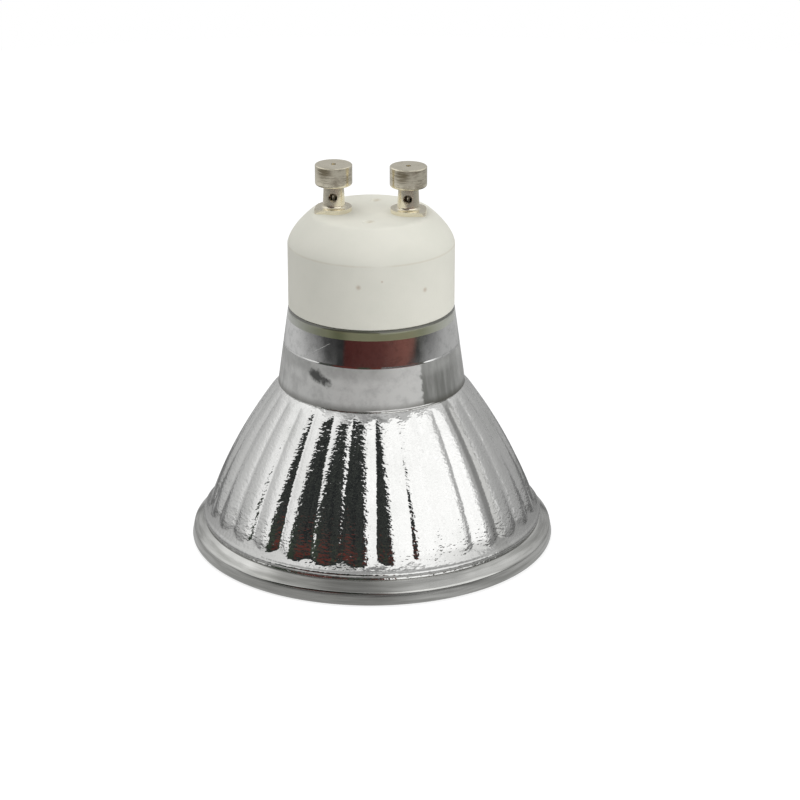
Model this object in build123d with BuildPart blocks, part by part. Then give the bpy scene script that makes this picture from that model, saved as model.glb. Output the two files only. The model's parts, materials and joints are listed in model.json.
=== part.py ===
from build123d import *
import os
from math import cos, radians, sin

# Reflector spotlight bulb with a twist-lock two-pin base, in millimetres.
# The bulb stands on its front rim: the origin is the centre of the rim's plane, +Z runs up
# the optical axis to the contact pins, and the two pins lie along X.

# Glass reflector, outside
rim_radius = 25.0
rim_edge_round = 0.6
bead_side_height = 1.28
bead_side_draft = 0.25
bead_bevel_width = 1.4
bead_bevel_height = 1.17
bead_edge_round = 0.45
bell_height = 19.5
bell_foot_step = 0.2
bell_bulge = 1.03
bell_top_radius = 12.9
neck_height = 11.0
neck_foot_step = 0.12
neck_top_radius = 11.25
neck_edge_round = 0.3
flute_count = 30
flute_turn = -4.75
flute_depth_share = 0.0154
flute_trace_share = 0.0015
flute_foot_margin = 1.05
flute_foot_fade = 0.7
flute_head_margin = 0.25
flute_head_fade = 1.2
flute_steps = 4
foot_ridge_radius = 0.42
foot_ridge_reach = 0.07
foot_ridge_rise = 0.6
cove_foot_inset = 0.15
cove_foot_rise = 0.9
cove_hollow_width = 0.48
cove_hollow_rise = 0.5
cove_width = 1.6
cove_rise = 2.4

# Glass reflector, inside
rim_wall = 2.3
lens_recess_depth = 2.2
lens_ledge = 1.3
neck_floor_rise = 2.4
septum_thickness = 2.8
neck_wall = 1.95

# Cover glass
lens_thickness = 1.6
lens_edge_chamfer = 0.2
adhesive_gap = 0.4

# Ceramic base
base_radius = 11.25
base_wall_height = 8.8
base_shoulder_height = 4.25
base_shoulder_width = 3.25
base_shoulder_lean = 0.25
base_shoulder_fullness = 1.85
base_top_round = 1.5
base_foot_chamfer = 0.12
base_top_thickness = 2.6
spigot_length = 6.0
spigot_wall = 1.8
base_cement_gap = 0.6
base_cement_drop = 1.7
base_cement_length = 3.8
dimple_radius = 1.2
dimple_depth = 0.2
dimple_offset = 5.0

# Contact pins
pin_spacing = 10.0
pin_head_radius = 2.5
pin_head_height = 2.8
pin_head_bevel = 0.25
pin_head_underside_round = 0.35
pin_stem_top_radius = 1.35
pin_stem_foot_radius = 1.5
pin_stem_height = 3.0
pin_flange_radius = 2.4
pin_flange_thickness = 0.55
pin_tab_reach = 2.45
pin_tab_round = 0.4
pin_stem_foot_round = 0.35
pin_tab_width = 4.4
pin_shank_radius = 1.3
pin_shank_clearance = 0.05
pin_rivet_radius = 1.8
pin_rivet_thickness = 0.4
pin_bore_radius = 0.5
pin_top_dimple_radius = 0.35
pin_top_dimple_depth = 0.4
crimp_hole_radius = 0.6

# Quartz capsule
capsule_radius = 5.4
capsule_clearance = 0.9
capsule_reach = 7.0
capsule_dome_height = 4.2
capsule_bulb_length = 12.5
capsule_shoulder_height = 1.6
capsule_wall = 0.9
exhaust_tip_radius = 0.9
exhaust_tip_point_radius = 0.3
exhaust_tip_length = 1.2
pinch_width = 10.2
pinch_thickness = 3.2
pinch_length = 9.0
pinch_rib_width = 1.2
pinch_rib_thickness = 4.2
capsule_cement_inset = 0.5
capsule_cement_margin = 1.05

# Wires
wire_radius = 0.3
lead_spacing = 4.8
lead_bend_radius = 1.5
lead_bend_rise = 3.0
lead_bend_drop = 1.6
foil_length = 5.4
foil_width = 2.0
foil_thickness = 0.12
foil_end_margin = 1.2
inner_lead_drop = 3.4
filament_radius = 0.35
filament_length = 5.6
filament_bend_radius = 1.2
support_radius = 0.2
support_clearance = 0.05
support_anchor = 1.4
fuse_sleeve_radius = 0.9
fuse_sleeve_length = 4.0

# Radii that follow from the sizes above
bead_edge_radius = rim_radius - bead_side_draft
bead_top_radius = bead_edge_radius - bead_bevel_width
bell_foot_radius = bead_top_radius - bell_foot_step
neck_foot_radius = bell_top_radius - neck_foot_step
lens_recess_radius = rim_radius - rim_wall
lens_radius = lens_recess_radius - adhesive_gap
mirror_mouth_radius = lens_recess_radius - lens_ledge
capsule_opening_radius = capsule_radius + capsule_clearance
neck_bore_radius = neck_top_radius - neck_wall
spigot_radius = neck_bore_radius - base_cement_gap
base_cavity_radius = spigot_radius - spigot_wall
base_top_radius = base_radius - base_shoulder_width
pin_x = pin_spacing / 2
lead_x = lead_spacing / 2

# Heights that follow, from the rim upwards
bead_edge_z = rim_edge_round + bead_side_height
bell_foot_z = bead_edge_z + bead_bevel_height
bell_top_z = bell_foot_z + bell_height
neck_floor_z = bell_top_z + neck_floor_rise
opening_z = neck_floor_z - septum_thickness
neck_top_z = bell_top_z + neck_height
spigot_foot_z = neck_top_z - spigot_length
base_shoulder_z = neck_top_z + base_wall_height
base_top_z = base_shoulder_z + base_shoulder_height
base_ceiling_z = base_top_z - base_top_thickness
pin_stem_z = base_top_z + pin_flange_thickness
pin_head_z = pin_stem_z + pin_stem_height
pin_top_z = pin_head_z + pin_head_height
pin_foot_z = base_ceiling_z - pin_rivet_thickness
crimp_z = pin_stem_z + pin_stem_height / 2

# The mirror is a parabola through the edge of the lens ledge and the edge of the capsule opening
mirror_depth = opening_z - lens_recess_depth
mirror_latus = (mirror_mouth_radius**2 - capsule_opening_radius**2) / mirror_depth
focus_z = opening_z + capsule_opening_radius**2 / mirror_latus - mirror_latus / 4

# The capsule hangs in the mirror with its filament about the focus
capsule_end_z = focus_z - capsule_reach
capsule_dome_z = capsule_end_z + capsule_dome_height
capsule_top_z = capsule_end_z + capsule_bulb_length
capsule_shoulder_z = capsule_top_z - capsule_shoulder_height
pinch_end_z = capsule_top_z + pinch_length
foil_top_z = pinch_end_z - foil_end_margin
foil_foot_z = foil_top_z - foil_length
filament_top_z = capsule_shoulder_z - inner_lead_drop
filament_foot_z = filament_top_z - filament_length
lead_bend_z = pin_foot_z - lead_bend_drop

SIDES = (("left", -1), ("right", 1))


def bell_radius(height):
    """Outside radius of the bell, over the flutes' crests, at a height above its foot."""
    share = height / bell_height
    straight = bell_foot_radius + share * (bell_top_radius - bell_foot_radius)
    return straight + 4 * bell_bulge * share * (1 - share)


def polar_point(radius, angle):
    """Point on a circle round the axis, the angle in degrees."""
    return (radius * cos(radians(angle)), radius * sin(radians(angle)))


def fluted_outline(height, depth_share):
    """Sketch a section of the bell: a ring of convex flutes, as deep as a share of the radius."""
    crest = bell_radius(height)
    valley = crest * (1 - depth_share)
    pitch = 360 / flute_count
    with BuildSketch(Plane.XY.offset(bell_foot_z + height)) as outline:
        with BuildLine():
            for flute in range(flute_count):
                middle = flute_turn + flute * pitch
                ThreePointArc(
                    polar_point(valley, middle - pitch / 2),
                    polar_point(crest, middle),
                    polar_point(valley, middle + pitch / 2),
                )
        make_face()
    return outline.sketch


def outer_lead_path(side):
    """Route of an outer lead: up from its foil, outwards, and up into its pin."""
    return FilletPolyline(
        (side * lead_x, 0, foil_top_z),
        (side * lead_x, 0, lead_bend_z - lead_bend_rise),
        (side * pin_x, 0, lead_bend_z),
        (side * pin_x, 0, crimp_z),
        radius=lead_bend_radius,
    )


def write(piece, name):
    """Label a finished piece and write it to its own file."""
    piece.label = name
    export_step(piece, f"parts/{name}.step")


os.makedirs("parts", exist_ok=True)

# Pressed glass reflector: rim bead, fluted bell with a ridge and a cove round its foot, and neck, hollowed
# by the lens recess, the mirror, the capsule opening and the neck's bore
with BuildPart() as reflector:
    with BuildSketch(Plane.XZ) as bead_section:
        with BuildLine():
            Line((0, 0), (rim_radius - rim_edge_round, 0))
            CenterArc((rim_radius - rim_edge_round, rim_edge_round), rim_edge_round, -90, 90)
            Polyline(
                (rim_radius, rim_edge_round),
                (bead_edge_radius, bead_edge_z),
                (bead_top_radius, bell_foot_z),
                (0, bell_foot_z),
                (0, 0),
            )
        make_face()
        fillet(bead_section.vertices().sort_by(Axis.X)[-2], bead_edge_round)
    revolve(axis=Axis.Z)
    full_foot = flute_foot_margin + flute_foot_fade
    full_height = bell_height - full_foot - flute_head_fade - flute_head_margin
    fluted_sections = [
        fluted_outline(0, flute_trace_share),
        fluted_outline(flute_foot_margin, flute_trace_share),
    ]
    for step in range(flute_steps + 1):
        section_height = full_foot + full_height * step / flute_steps
        fluted_sections.append(fluted_outline(section_height, flute_depth_share))
    fluted_sections += [
        fluted_outline(bell_height - flute_head_margin, flute_trace_share),
        fluted_outline(bell_height, flute_trace_share),
    ]
    loft(sections=fluted_sections, ruled=True)
    with Locations((0, 0, bell_foot_z + foot_ridge_rise)):
        Torus(bead_top_radius + foot_ridge_reach - foot_ridge_radius, foot_ridge_radius)
    with BuildSketch(Plane.XZ):
        with BuildLine():
            cove_foot = (bead_top_radius - cove_foot_inset, bell_foot_z + cove_foot_rise)
            cove_control = (cove_foot[0] - cove_hollow_width, cove_foot[1] + cove_hollow_rise)
            cove_head = (cove_foot[0] - cove_width, cove_foot[1] + cove_rise)
            Bezier(cove_foot, cove_control, cove_head)
            Polyline(cove_head, (cove_head[0], cove_foot[1]), cove_foot)
        make_face()
    revolve(axis=Axis.Z)
    with BuildSketch(Plane.XZ) as neck_section:
        with BuildLine():
            Polyline(
                (0, bell_top_z),
                (neck_foot_radius, bell_top_z),
                (neck_top_radius, neck_top_z),
                (0, neck_top_z),
                close=True,
            )
        make_face()
        fillet(neck_section.vertices().sort_by(Axis.Y)[-2:].sort_by(Axis.X)[-1], neck_edge_round)
    revolve(axis=Axis.Z)
    with BuildSketch(Plane.XZ):
        with BuildLine():
            mirror_control = (
                (mirror_mouth_radius + capsule_opening_radius) / 2,
                lens_recess_depth
                + mirror_mouth_radius * (mirror_mouth_radius - capsule_opening_radius) / mirror_latus,
            )
            Polyline(
                (0, 0),
                (lens_recess_radius, 0),
                (lens_recess_radius, lens_recess_depth),
                (mirror_mouth_radius, lens_recess_depth),
            )
            Bezier(
                (mirror_mouth_radius, lens_recess_depth),
                mirror_control,
                (capsule_opening_radius, opening_z),
            )
            Polyline(
                (capsule_opening_radius, opening_z),
                (capsule_opening_radius, neck_floor_z),
                (neck_bore_radius, neck_floor_z),
                (neck_bore_radius, neck_top_z),
                (0, neck_top_z),
                (0, 0),
            )
        make_face()
    revolve(axis=Axis.Z, mode=Mode.SUBTRACT)
write(reflector.part, "reflector")

# Clear cover glass, seated on the ledge inside the rim
with BuildPart() as front_lens:
    with BuildSketch(Plane.XY.offset(lens_recess_depth - lens_thickness)):
        Circle(lens_radius)
    extrude(amount=lens_thickness)
    chamfer(front_lens.edges().filter_by(GeomType.CIRCLE), lens_edge_chamfer)
write(front_lens.part, "front_lens")

# Ring of adhesive between the cover glass and the recess
with BuildPart() as lens_adhesive:
    with BuildSketch(Plane.XY.offset(lens_recess_depth - lens_thickness + lens_edge_chamfer)):
        Circle(lens_recess_radius)
        Circle(lens_radius, mode=Mode.SUBTRACT)
    extrude(amount=lens_thickness - lens_edge_chamfer)
write(lens_adhesive.part, "lens_adhesive")

# Ceramic base: bevelled cap that sits on the neck, with a hollow spigot inside it
with BuildPart() as ceramic_base:
    with BuildSketch(Plane.XZ) as base_section:
        with BuildLine():
            Polyline(
                (base_top_radius, base_top_z),
                (0, base_top_z),
                (0, neck_top_z),
                (base_radius, neck_top_z),
                (base_radius, base_shoulder_z),
            )
            Bezier(
                (base_radius, base_shoulder_z),
                (base_radius - base_shoulder_lean, base_shoulder_z + base_shoulder_fullness),
                (base_top_radius, base_top_z),
            )
        make_face()
        outer_corners = base_section.vertices().sort_by(Axis.X)[-3:].sort_by(Axis.Y)
        chamfer(outer_corners[0], base_foot_chamfer)
        fillet(outer_corners[-1], base_top_round)
    revolve(axis=Axis.Z)
    with BuildSketch(Plane.XY.offset(spigot_foot_z)):
        Circle(spigot_radius)
    extrude(amount=spigot_length)
    with BuildSketch(Plane.XY.offset(spigot_foot_z)):
        Circle(base_cavity_radius)
    extrude(amount=base_ceiling_z - spigot_foot_z, mode=Mode.SUBTRACT)
    with BuildSketch(Plane.XY.offset(base_ceiling_z)):
        with Locations((-pin_x, 0), (pin_x, 0)):
            Circle(pin_shank_radius + pin_shank_clearance)
    extrude(amount=base_top_thickness, mode=Mode.SUBTRACT)
    dimple_z = base_top_z + dimple_radius - dimple_depth
    with Locations((0, -dimple_offset, dimple_z), (0, dimple_offset, dimple_z)):
        Sphere(dimple_radius, mode=Mode.SUBTRACT)
write(ceramic_base.part, "ceramic_base")

# Cement between the spigot and the neck's bore, set below the clear edge of the glass
with BuildPart() as base_cement:
    with BuildSketch(Plane.XY.offset(neck_top_z - base_cement_drop - base_cement_length)):
        Circle(neck_bore_radius)
        Circle(spigot_radius, mode=Mode.SUBTRACT)
    extrude(amount=base_cement_length)
write(base_cement.part, "base_cement")

# Contact pins: head, tapered stem and tabbed flange over a shank riveted inside the base, with a bore for
# the lead and a crimp hole through the front of the stem
for name, side in SIDES:
    with BuildPart() as contact_pin:
        pin_axis = Axis((side * pin_x, 0, 0), (0, 0, 1))
        with BuildSketch(Plane(pin_axis.position, x_dir=(1, 0, 0), z_dir=(0, -1, 0))) as pin_section:
            with BuildLine():
                Polyline(
                    (0, pin_foot_z),
                    (pin_rivet_radius, pin_foot_z),
                    (pin_rivet_radius, base_ceiling_z),
                    (pin_shank_radius, base_ceiling_z),
                    (pin_shank_radius, base_top_z),
                    (pin_flange_radius, base_top_z),
                    (pin_flange_radius, pin_stem_z),
                    (pin_stem_foot_radius, pin_stem_z),
                    (pin_stem_top_radius, pin_head_z),
                    (pin_head_radius, pin_head_z),
                    (pin_head_radius, pin_top_z),
                    (0, pin_top_z),
                    close=True,
                )
            make_face()
            head_corners = pin_section.vertices().sort_by(Axis.X)[-2:].sort_by(Axis.Y)
            fillet(head_corners[0], pin_head_underside_round)
            chamfer(head_corners[1], pin_head_bevel)
            stem_corners = pin_section.vertices().filter_by_position(Axis.Y, pin_stem_z, pin_stem_z)
            fillet(stem_corners.sort_by(Axis.X)[0], pin_stem_foot_round)
        revolve(axis=pin_axis)
        with BuildSketch(Plane.XY.offset(base_top_z)):
            with Locations((side * pin_x, 0)):
                RectangleRounded(2 * pin_tab_reach, pin_tab_width, pin_tab_round)
            with Locations((side * (pin_x - pin_tab_reach), 0), (side * pin_x, pin_tab_reach)):
                Rectangle(2 * pin_tab_reach, 2 * pin_tab_reach, mode=Mode.SUBTRACT)
        extrude(amount=pin_flange_thickness)
        with BuildSketch(Plane.XY.offset(pin_foot_z)):
            with Locations((side * pin_x, 0)):
                Circle(pin_bore_radius)
        extrude(amount=pin_head_z - pin_foot_z, mode=Mode.SUBTRACT)
        with BuildSketch(Plane.XY.offset(pin_top_z)):
            with Locations((side * pin_x, 0)):
                Circle(pin_top_dimple_radius)
        extrude(amount=-pin_top_dimple_depth, mode=Mode.SUBTRACT)
        with BuildSketch(Plane.XZ):
            with Locations((side * pin_x, crimp_z)):
                Circle(crimp_hole_radius)
        extrude(amount=pin_stem_foot_radius, mode=Mode.SUBTRACT)
    write(contact_pin.part, f"contact_pin_{name}")

# Filament: a coil drawn as its outer rod, hung in a U between the inner leads
with BuildPart() as filament:
    with BuildLine() as filament_path:
        FilletPolyline(
            (-lead_x, 0, filament_top_z),
            (-lead_x, 0, filament_foot_z),
            (lead_x, 0, filament_foot_z),
            (lead_x, 0, filament_top_z),
            radius=filament_bend_radius,
        )
    with BuildSketch(Plane((-lead_x, 0, filament_top_z), z_dir=(0, 0, -1))):
        Circle(filament_radius)
    sweep(path=filament_path.wires()[0])
write(filament.part, "filament")

# Support: a wire from the pinch with a loop round the middle of the filament
with BuildPart() as filament_support:
    loop_radius = filament_radius + support_clearance + support_radius
    with BuildSketch(Plane.XY.offset(filament_foot_z + loop_radius)):
        Circle(support_radius)
    extrude(amount=capsule_top_z + support_anchor - filament_foot_z - loop_radius)
    with Locations(Location((0, 0, filament_foot_z), (0, 90, 0))):
        Torus(loop_radius, support_radius)
write(filament_support.part, "filament_support")

# Inner leads, sealing foils and outer leads, one set on each side
pinch_inlays = [filament_support.part]
outer_leads = []
for name, side in SIDES:
    with BuildPart() as inner_lead:
        with BuildSketch(Plane.XY.offset(filament_top_z)):
            with Locations((side * lead_x, 0)):
                Circle(wire_radius)
        extrude(amount=foil_foot_z - filament_top_z)
    write(inner_lead.part, f"inner_lead_{name}")

    with BuildPart() as sealing_foil:
        with BuildSketch(Plane.XY.offset(foil_foot_z)):
            with Locations((side * lead_x, 0)):
                Rectangle(foil_width, foil_thickness)
        extrude(amount=foil_length)
    write(sealing_foil.part, f"sealing_foil_{name}")

    with BuildPart() as outer_lead:
        with BuildLine() as lead_path:
            outer_lead_path(side)
        with BuildSketch(Plane.XY.offset(foil_top_z)):
            with Locations((side * lead_x, 0)):
                Circle(wire_radius)
        sweep(path=lead_path.wires()[0])
    write(outer_lead.part, f"outer_lead_{name}")
    pinch_inlays += [inner_lead.part, sealing_foil.part, outer_lead.part]
    outer_leads.append(outer_lead.part)

# Quartz capsule: domed tube with an exhaust tip, closed by a ribbed pinch round the leads and foils
with BuildPart() as capsule:
    with BuildSketch(Plane.XZ):
        with BuildLine():
            EllipticalCenterArc((0, capsule_dome_z), capsule_radius, capsule_dome_height, -90, arc_size=90)
            Polyline(
                (capsule_radius, capsule_dome_z),
                (capsule_radius, capsule_shoulder_z),
                (pinch_thickness / 2, capsule_top_z),
                (0, capsule_top_z),
                (0, capsule_end_z),
            )
        make_face()
    revolve(axis=Axis.Z)
    with BuildSketch(Plane.XY.offset(capsule_end_z - exhaust_tip_length)):
        Circle(exhaust_tip_point_radius)
    with BuildSketch(Plane.XY.offset(capsule_end_z + capsule_wall / 2)):
        Circle(exhaust_tip_radius)
    loft()
    with BuildSketch(Plane.XY.offset(capsule_shoulder_z)):
        Rectangle(pinch_width, pinch_thickness)
        with Locations(
            (-(pinch_width - pinch_rib_width) / 2, 0),
            ((pinch_width - pinch_rib_width) / 2, 0),
        ):
            Rectangle(pinch_rib_width, pinch_rib_thickness)
    extrude(amount=pinch_end_z - capsule_shoulder_z)
    with BuildSketch(Plane.XZ):
        with BuildLine():
            EllipticalCenterArc(
                (0, capsule_dome_z),
                capsule_radius - capsule_wall,
                capsule_dome_height - capsule_wall,
                -90,
                arc_size=90,
            )
            Polyline(
                (capsule_radius - capsule_wall, capsule_dome_z),
                (capsule_radius - capsule_wall, capsule_shoulder_z - capsule_wall),
                (0, capsule_shoulder_z),
                (0, capsule_end_z + capsule_wall),
            )
        make_face()
    revolve(axis=Axis.Z, mode=Mode.SUBTRACT)
    add(pinch_inlays, mode=Mode.SUBTRACT)
write(capsule.part, "capsule")

# Cement plug that holds the pinch in the base's spigot
with BuildPart() as capsule_cement:
    capsule_cement_foot_z = spigot_foot_z + capsule_cement_inset
    with BuildSketch(Plane.XY.offset(capsule_cement_foot_z)):
        Circle(base_cavity_radius)
        Rectangle(pinch_width, pinch_thickness, mode=Mode.SUBTRACT)
        with Locations(
            (-(pinch_width - pinch_rib_width) / 2, 0),
            ((pinch_width - pinch_rib_width) / 2, 0),
        ):
            Rectangle(pinch_rib_width, pinch_rib_thickness, mode=Mode.SUBTRACT)
    extrude(amount=pinch_end_z - capsule_cement_margin - capsule_cement_foot_z)
write(capsule_cement.part, "capsule_cement")

# Insulating sleeve round the fused stretch of the right outer lead
with BuildPart() as fuse_sleeve:
    with BuildSketch(Plane.XY.offset(pinch_end_z)):
        with Locations((lead_x, 0)):
            Circle(fuse_sleeve_radius)
            Circle(wire_radius, mode=Mode.SUBTRACT)
    extrude(amount=fuse_sleeve_length)
write(fuse_sleeve.part, "fuse_sleeve")
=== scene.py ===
"""Looks of the reflector spotlight bulb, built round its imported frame.

The bulb stands on its front rim with its contact pins up. The glass reflector, the ceramic cap, the
contact pins and the wound filament are modelled here. The cover glass, its adhesive and the quartz
capsule are smoothed copies of their nodes, and the other pieces are the frame's own nodes.
A plain size is in millimetres, and a size written with MM is in metres, as Blender's own units are.
"""

import json
import logging
import math
from dataclasses import dataclass, field
from enum import Enum, IntEnum
from typing import Callable, Sequence

import bmesh
import bpy
from mathutils import Matrix, Vector

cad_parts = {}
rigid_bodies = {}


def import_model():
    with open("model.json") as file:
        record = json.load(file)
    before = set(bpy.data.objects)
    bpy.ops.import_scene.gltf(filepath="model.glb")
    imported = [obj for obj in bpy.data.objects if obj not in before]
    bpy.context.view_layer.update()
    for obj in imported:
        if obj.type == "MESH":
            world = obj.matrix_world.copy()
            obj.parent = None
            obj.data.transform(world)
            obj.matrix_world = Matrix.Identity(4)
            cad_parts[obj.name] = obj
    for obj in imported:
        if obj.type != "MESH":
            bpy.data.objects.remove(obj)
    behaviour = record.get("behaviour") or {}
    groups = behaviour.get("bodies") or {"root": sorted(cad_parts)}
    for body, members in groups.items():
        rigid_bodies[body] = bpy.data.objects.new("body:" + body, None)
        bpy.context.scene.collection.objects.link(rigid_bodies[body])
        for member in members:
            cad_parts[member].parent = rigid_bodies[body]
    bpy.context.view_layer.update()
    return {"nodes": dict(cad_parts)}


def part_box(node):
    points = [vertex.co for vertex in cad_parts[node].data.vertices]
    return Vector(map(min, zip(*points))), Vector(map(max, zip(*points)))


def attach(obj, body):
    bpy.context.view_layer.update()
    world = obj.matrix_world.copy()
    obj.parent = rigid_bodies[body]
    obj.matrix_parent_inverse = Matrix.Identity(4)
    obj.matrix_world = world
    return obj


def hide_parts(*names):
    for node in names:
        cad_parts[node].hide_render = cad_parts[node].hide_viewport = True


MM = 0.001
BODY = "root"
Socket = bpy.types.NodeSocket
Colour = tuple[float, float, float, float]
Place = tuple[float, float, float]
Stop = tuple[float, float | Colour]
# An easing is a low and a high limit and the results at them. A band is two limits and a fade beyond them.
Easing = tuple[float, float, float, float]
Band = tuple[float, float, float]
EVEN = (1.0, 1.0, 1.0)
log = logging.getLogger("spotlight_bulb")


def grey(level: float) -> Colour:
    """A neutral colour of one level."""
    return (level, level, level, 1.0)


@dataclass(frozen=True)
class Grain:
    """A noise pattern: features per unit of length, finer layers and a factor on each axis."""

    scale: float
    detail: float = 2.0
    layers: float = 0.5
    stretch: Place = EVEN


class NodeBench:
    """Adds nodes to one node tree and links them."""

    def __init__(self, tree: bpy.types.NodeTree) -> None:
        """Work on a tree that is already empty or whose nodes stay."""
        self.tree = tree

    def add(self, kind: str, inputs: dict | None = None, **settings: object) -> bpy.types.Node:
        """Add one node.

        Args:
            kind: Blender's name of the node type.
            inputs: socket name or index to a value, or to an output socket to link from.
            settings: properties of the node itself.

        Returns:
            The new node.
        """
        node = self.tree.nodes.new(kind)
        for key, value in settings.items():
            setattr(node, key, value)
        for key, value in (inputs or {}).items():
            self.feed(node.inputs[key], value)
        return node

    def feed(self, socket: Socket, value: object) -> None:
        """Link an output socket to a socket, or set the socket's own value.

        Args:
            socket: the input socket.
            value: a number, a colour, another plain value or an output socket.
        """
        if isinstance(value, Socket):
            self.tree.links.new(value, socket)
        else:
            socket.default_value = value

    def math(self, operation: str, *values: object) -> Socket:
        """Result of a maths node, with Blender's name of the operation."""
        return self.add("ShaderNodeMath", dict(enumerate(values)), operation=operation).outputs[0]

    def plus(self, first: object, second: object) -> Socket:
        """Sum of two values."""
        return self.math("ADD", first, second)

    def minus(self, first: object, second: object) -> Socket:
        """First value less the second."""
        return self.math("SUBTRACT", first, second)

    def over(self, first: object, second: object) -> Socket:
        """First value divided by the second."""
        return self.math("DIVIDE", first, second)

    def apart(self, first: object, second: object) -> Socket:
        """Distance between two values."""
        return self.math("ABSOLUTE", self.minus(first, second))

    def times(self, first: object, *others: object) -> Socket:
        """Product of two or more values.

        Args:
            first: a number or an output socket.
            others: the numbers or output sockets that it is multiplied by.

        Returns:
            The product's output socket.
        """
        for other in others:
            first = self.math("MULTIPLY", first, other)
        return first

    def bearing(self, axes: bpy.types.NodeOutputs) -> Socket:
        """Angle round the Z axis in degrees, 0 towards -Y and positive towards +X."""
        return self.math("DEGREES", self.math("ARCTAN2", axes["X"], self.times(axes["Y"], -1.0)))

    def vector(self, operation: str, *values: object, **inputs: object) -> bpy.types.NodeOutputs:
        """Outputs of a vector maths node, with Blender's name of the operation."""
        given = {**dict(enumerate(values)), **inputs}
        return self.add("ShaderNodeVectorMath", given, operation=operation).outputs

    def ease(self, value: object, low: object, high: object, start: object = 0.0,
             end: object = 1.0) -> Socket:
        """Map a value smoothly from the range low to high onto start to end.

        Args:
            value: the number or output socket to map.
            low: the value that gives start.
            high: the value that gives end.
            start: the result at and below low.
            end: the result at and above high.

        Returns:
            The result's output socket.
        """
        inputs = {"Value": value, "From Min": low, "From Max": high, "To Min": start, "To Max": end}
        node = self.add("ShaderNodeMapRange", inputs, interpolation_type="SMOOTHSTEP", clamp=True)
        return node.outputs["Result"]

    def fall(self, value: object, low: object, high: object, start: object = 1.0) -> Socket:
        """Map a value smoothly from start at low to 0 at high."""
        return self.ease(value, low, high, start, 0.0)

    def between(self, value: object, low: float, high: float, fade: float) -> Socket:
        """Mask that is 1 where a value lies between two limits and fades to 0 outside them."""
        return self.times(self.ease(value, low - fade, low), self.fall(value, high, high + fade))

    def blend(self, share: object, first: object, second: object) -> Socket:
        """Mix two colours.

        Args:
            share: 0 gives the first colour and 1 the second.
            first: a colour or an output socket.
            second: a colour or an output socket.

        Returns:
            The mixed colour's output socket.
        """
        inputs = {"Factor": share, 6: first, 7: second}
        return self.add("ShaderNodeMix", inputs, data_type="RGBA").outputs[2]

    def ramp(self, value: object, stops: Sequence[Stop]) -> Socket:
        """Colour ramp through the stops.

        Args:
            value: position on the ramp, from 0 to 1.
            stops: position of each stop, in order, with its colour or grey level.

        Returns:
            The colour's output socket.
        """
        node = self.add("ShaderNodeValToRGB", {"Fac": value})
        elements = node.color_ramp.elements
        while len(elements) < len(stops):
            elements.new(0.5)
        for element, (position, tone) in zip(elements, stops):
            element.position = position
            element.color = grey(tone) if isinstance(tone, float) else tone
        return node.outputs["Color"]

    def noise(self, vector: Socket, grain: Grain) -> Socket:
        """Noise over the coordinates.

        Args:
            vector: the coordinates' output socket.
            grain: the pattern.

        Returns:
            The noise value's output socket, from 0 to 1.
        """
        if grain.stretch != EVEN:
            stretching = {"Vector": vector, "Scale": grain.stretch}
            vector = self.add("ShaderNodeMapping", stretching).outputs["Vector"]
        inputs = {"Vector": vector, "Scale": grain.scale, "Detail": grain.detail, "Roughness": grain.layers}
        return self.add("ShaderNodeTexNoise", inputs).outputs["Fac"]

    def sway(self, noise: Socket, reach: object) -> Socket:
        """Noise turned into a shift to both sides of zero."""
        return self.times(self.minus(noise, 0.5), reach)

    def bump(self, height: object, distance: float, under: Socket | None = None) -> Socket:
        """Bump from a height field.

        Args:
            height: the height's output socket, from 0 to 1.
            distance: depth of the relief in metres.
            under: the normal of another bump under this one.

        Returns:
            The normal's output socket.
        """
        inputs = {"Height": height, "Distance": distance, "Strength": 1.0}
        if under is not None:
            inputs["Normal"] = under
        return self.add("ShaderNodeBump", inputs).outputs["Normal"]


class SurfaceBench(NodeBench):
    """A new material with its principled shader and the object's coordinates at hand."""

    def __init__(self, name: str) -> None:
        """Make the material and its first nodes.

        Args:
            name: the material's name.
        """
        material = bpy.data.materials.new(name)
        material.use_nodes = True
        super().__init__(material.node_tree)
        self.shader = self.tree.nodes["Principled BSDF"]
        self.place = self.add("ShaderNodeTexCoord").outputs["Object"]
        axes = self.add("ShaderNodeSeparateXYZ", {"Vector": self.place}).outputs
        self.height = axes["Z"]
        self.azimuth = self.bearing(axes)

    def set(self, **inputs: object) -> None:
        """Set or link the shader's inputs, named with underscores for spaces."""
        for key, value in inputs.items():
            self.feed(self.shader.inputs[key.replace("_", " ")], value)

    def grain(self, grain: Grain) -> Socket:
        """Noise over the piece."""
        return self.noise(self.place, grain)

    def spot(self, centre: Vector, radius: float) -> Socket:
        """Mask that is 1 in the middle of a small ball and fades to 0 at its edge."""
        return self.fall(self.vector("DISTANCE", self.place, centre)["Value"], 0.0, radius)


class Finish:
    """A finish that makes its material the first time it is asked for."""

    def material(self) -> bpy.types.Material:
        """The finish's material.

        Returns:
            The material named after the finish.
        """
        name = type(self).__name__
        if name not in bpy.data.materials:
            self.build(SurfaceBench(name))
        return bpy.data.materials[name]

    def build(self, bench: SurfaceBench) -> None:
        """Make the nodes of the finish; each finish has its own.

        Args:
            bench: the new material's nodes.
        """
        raise NotImplementedError


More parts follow.
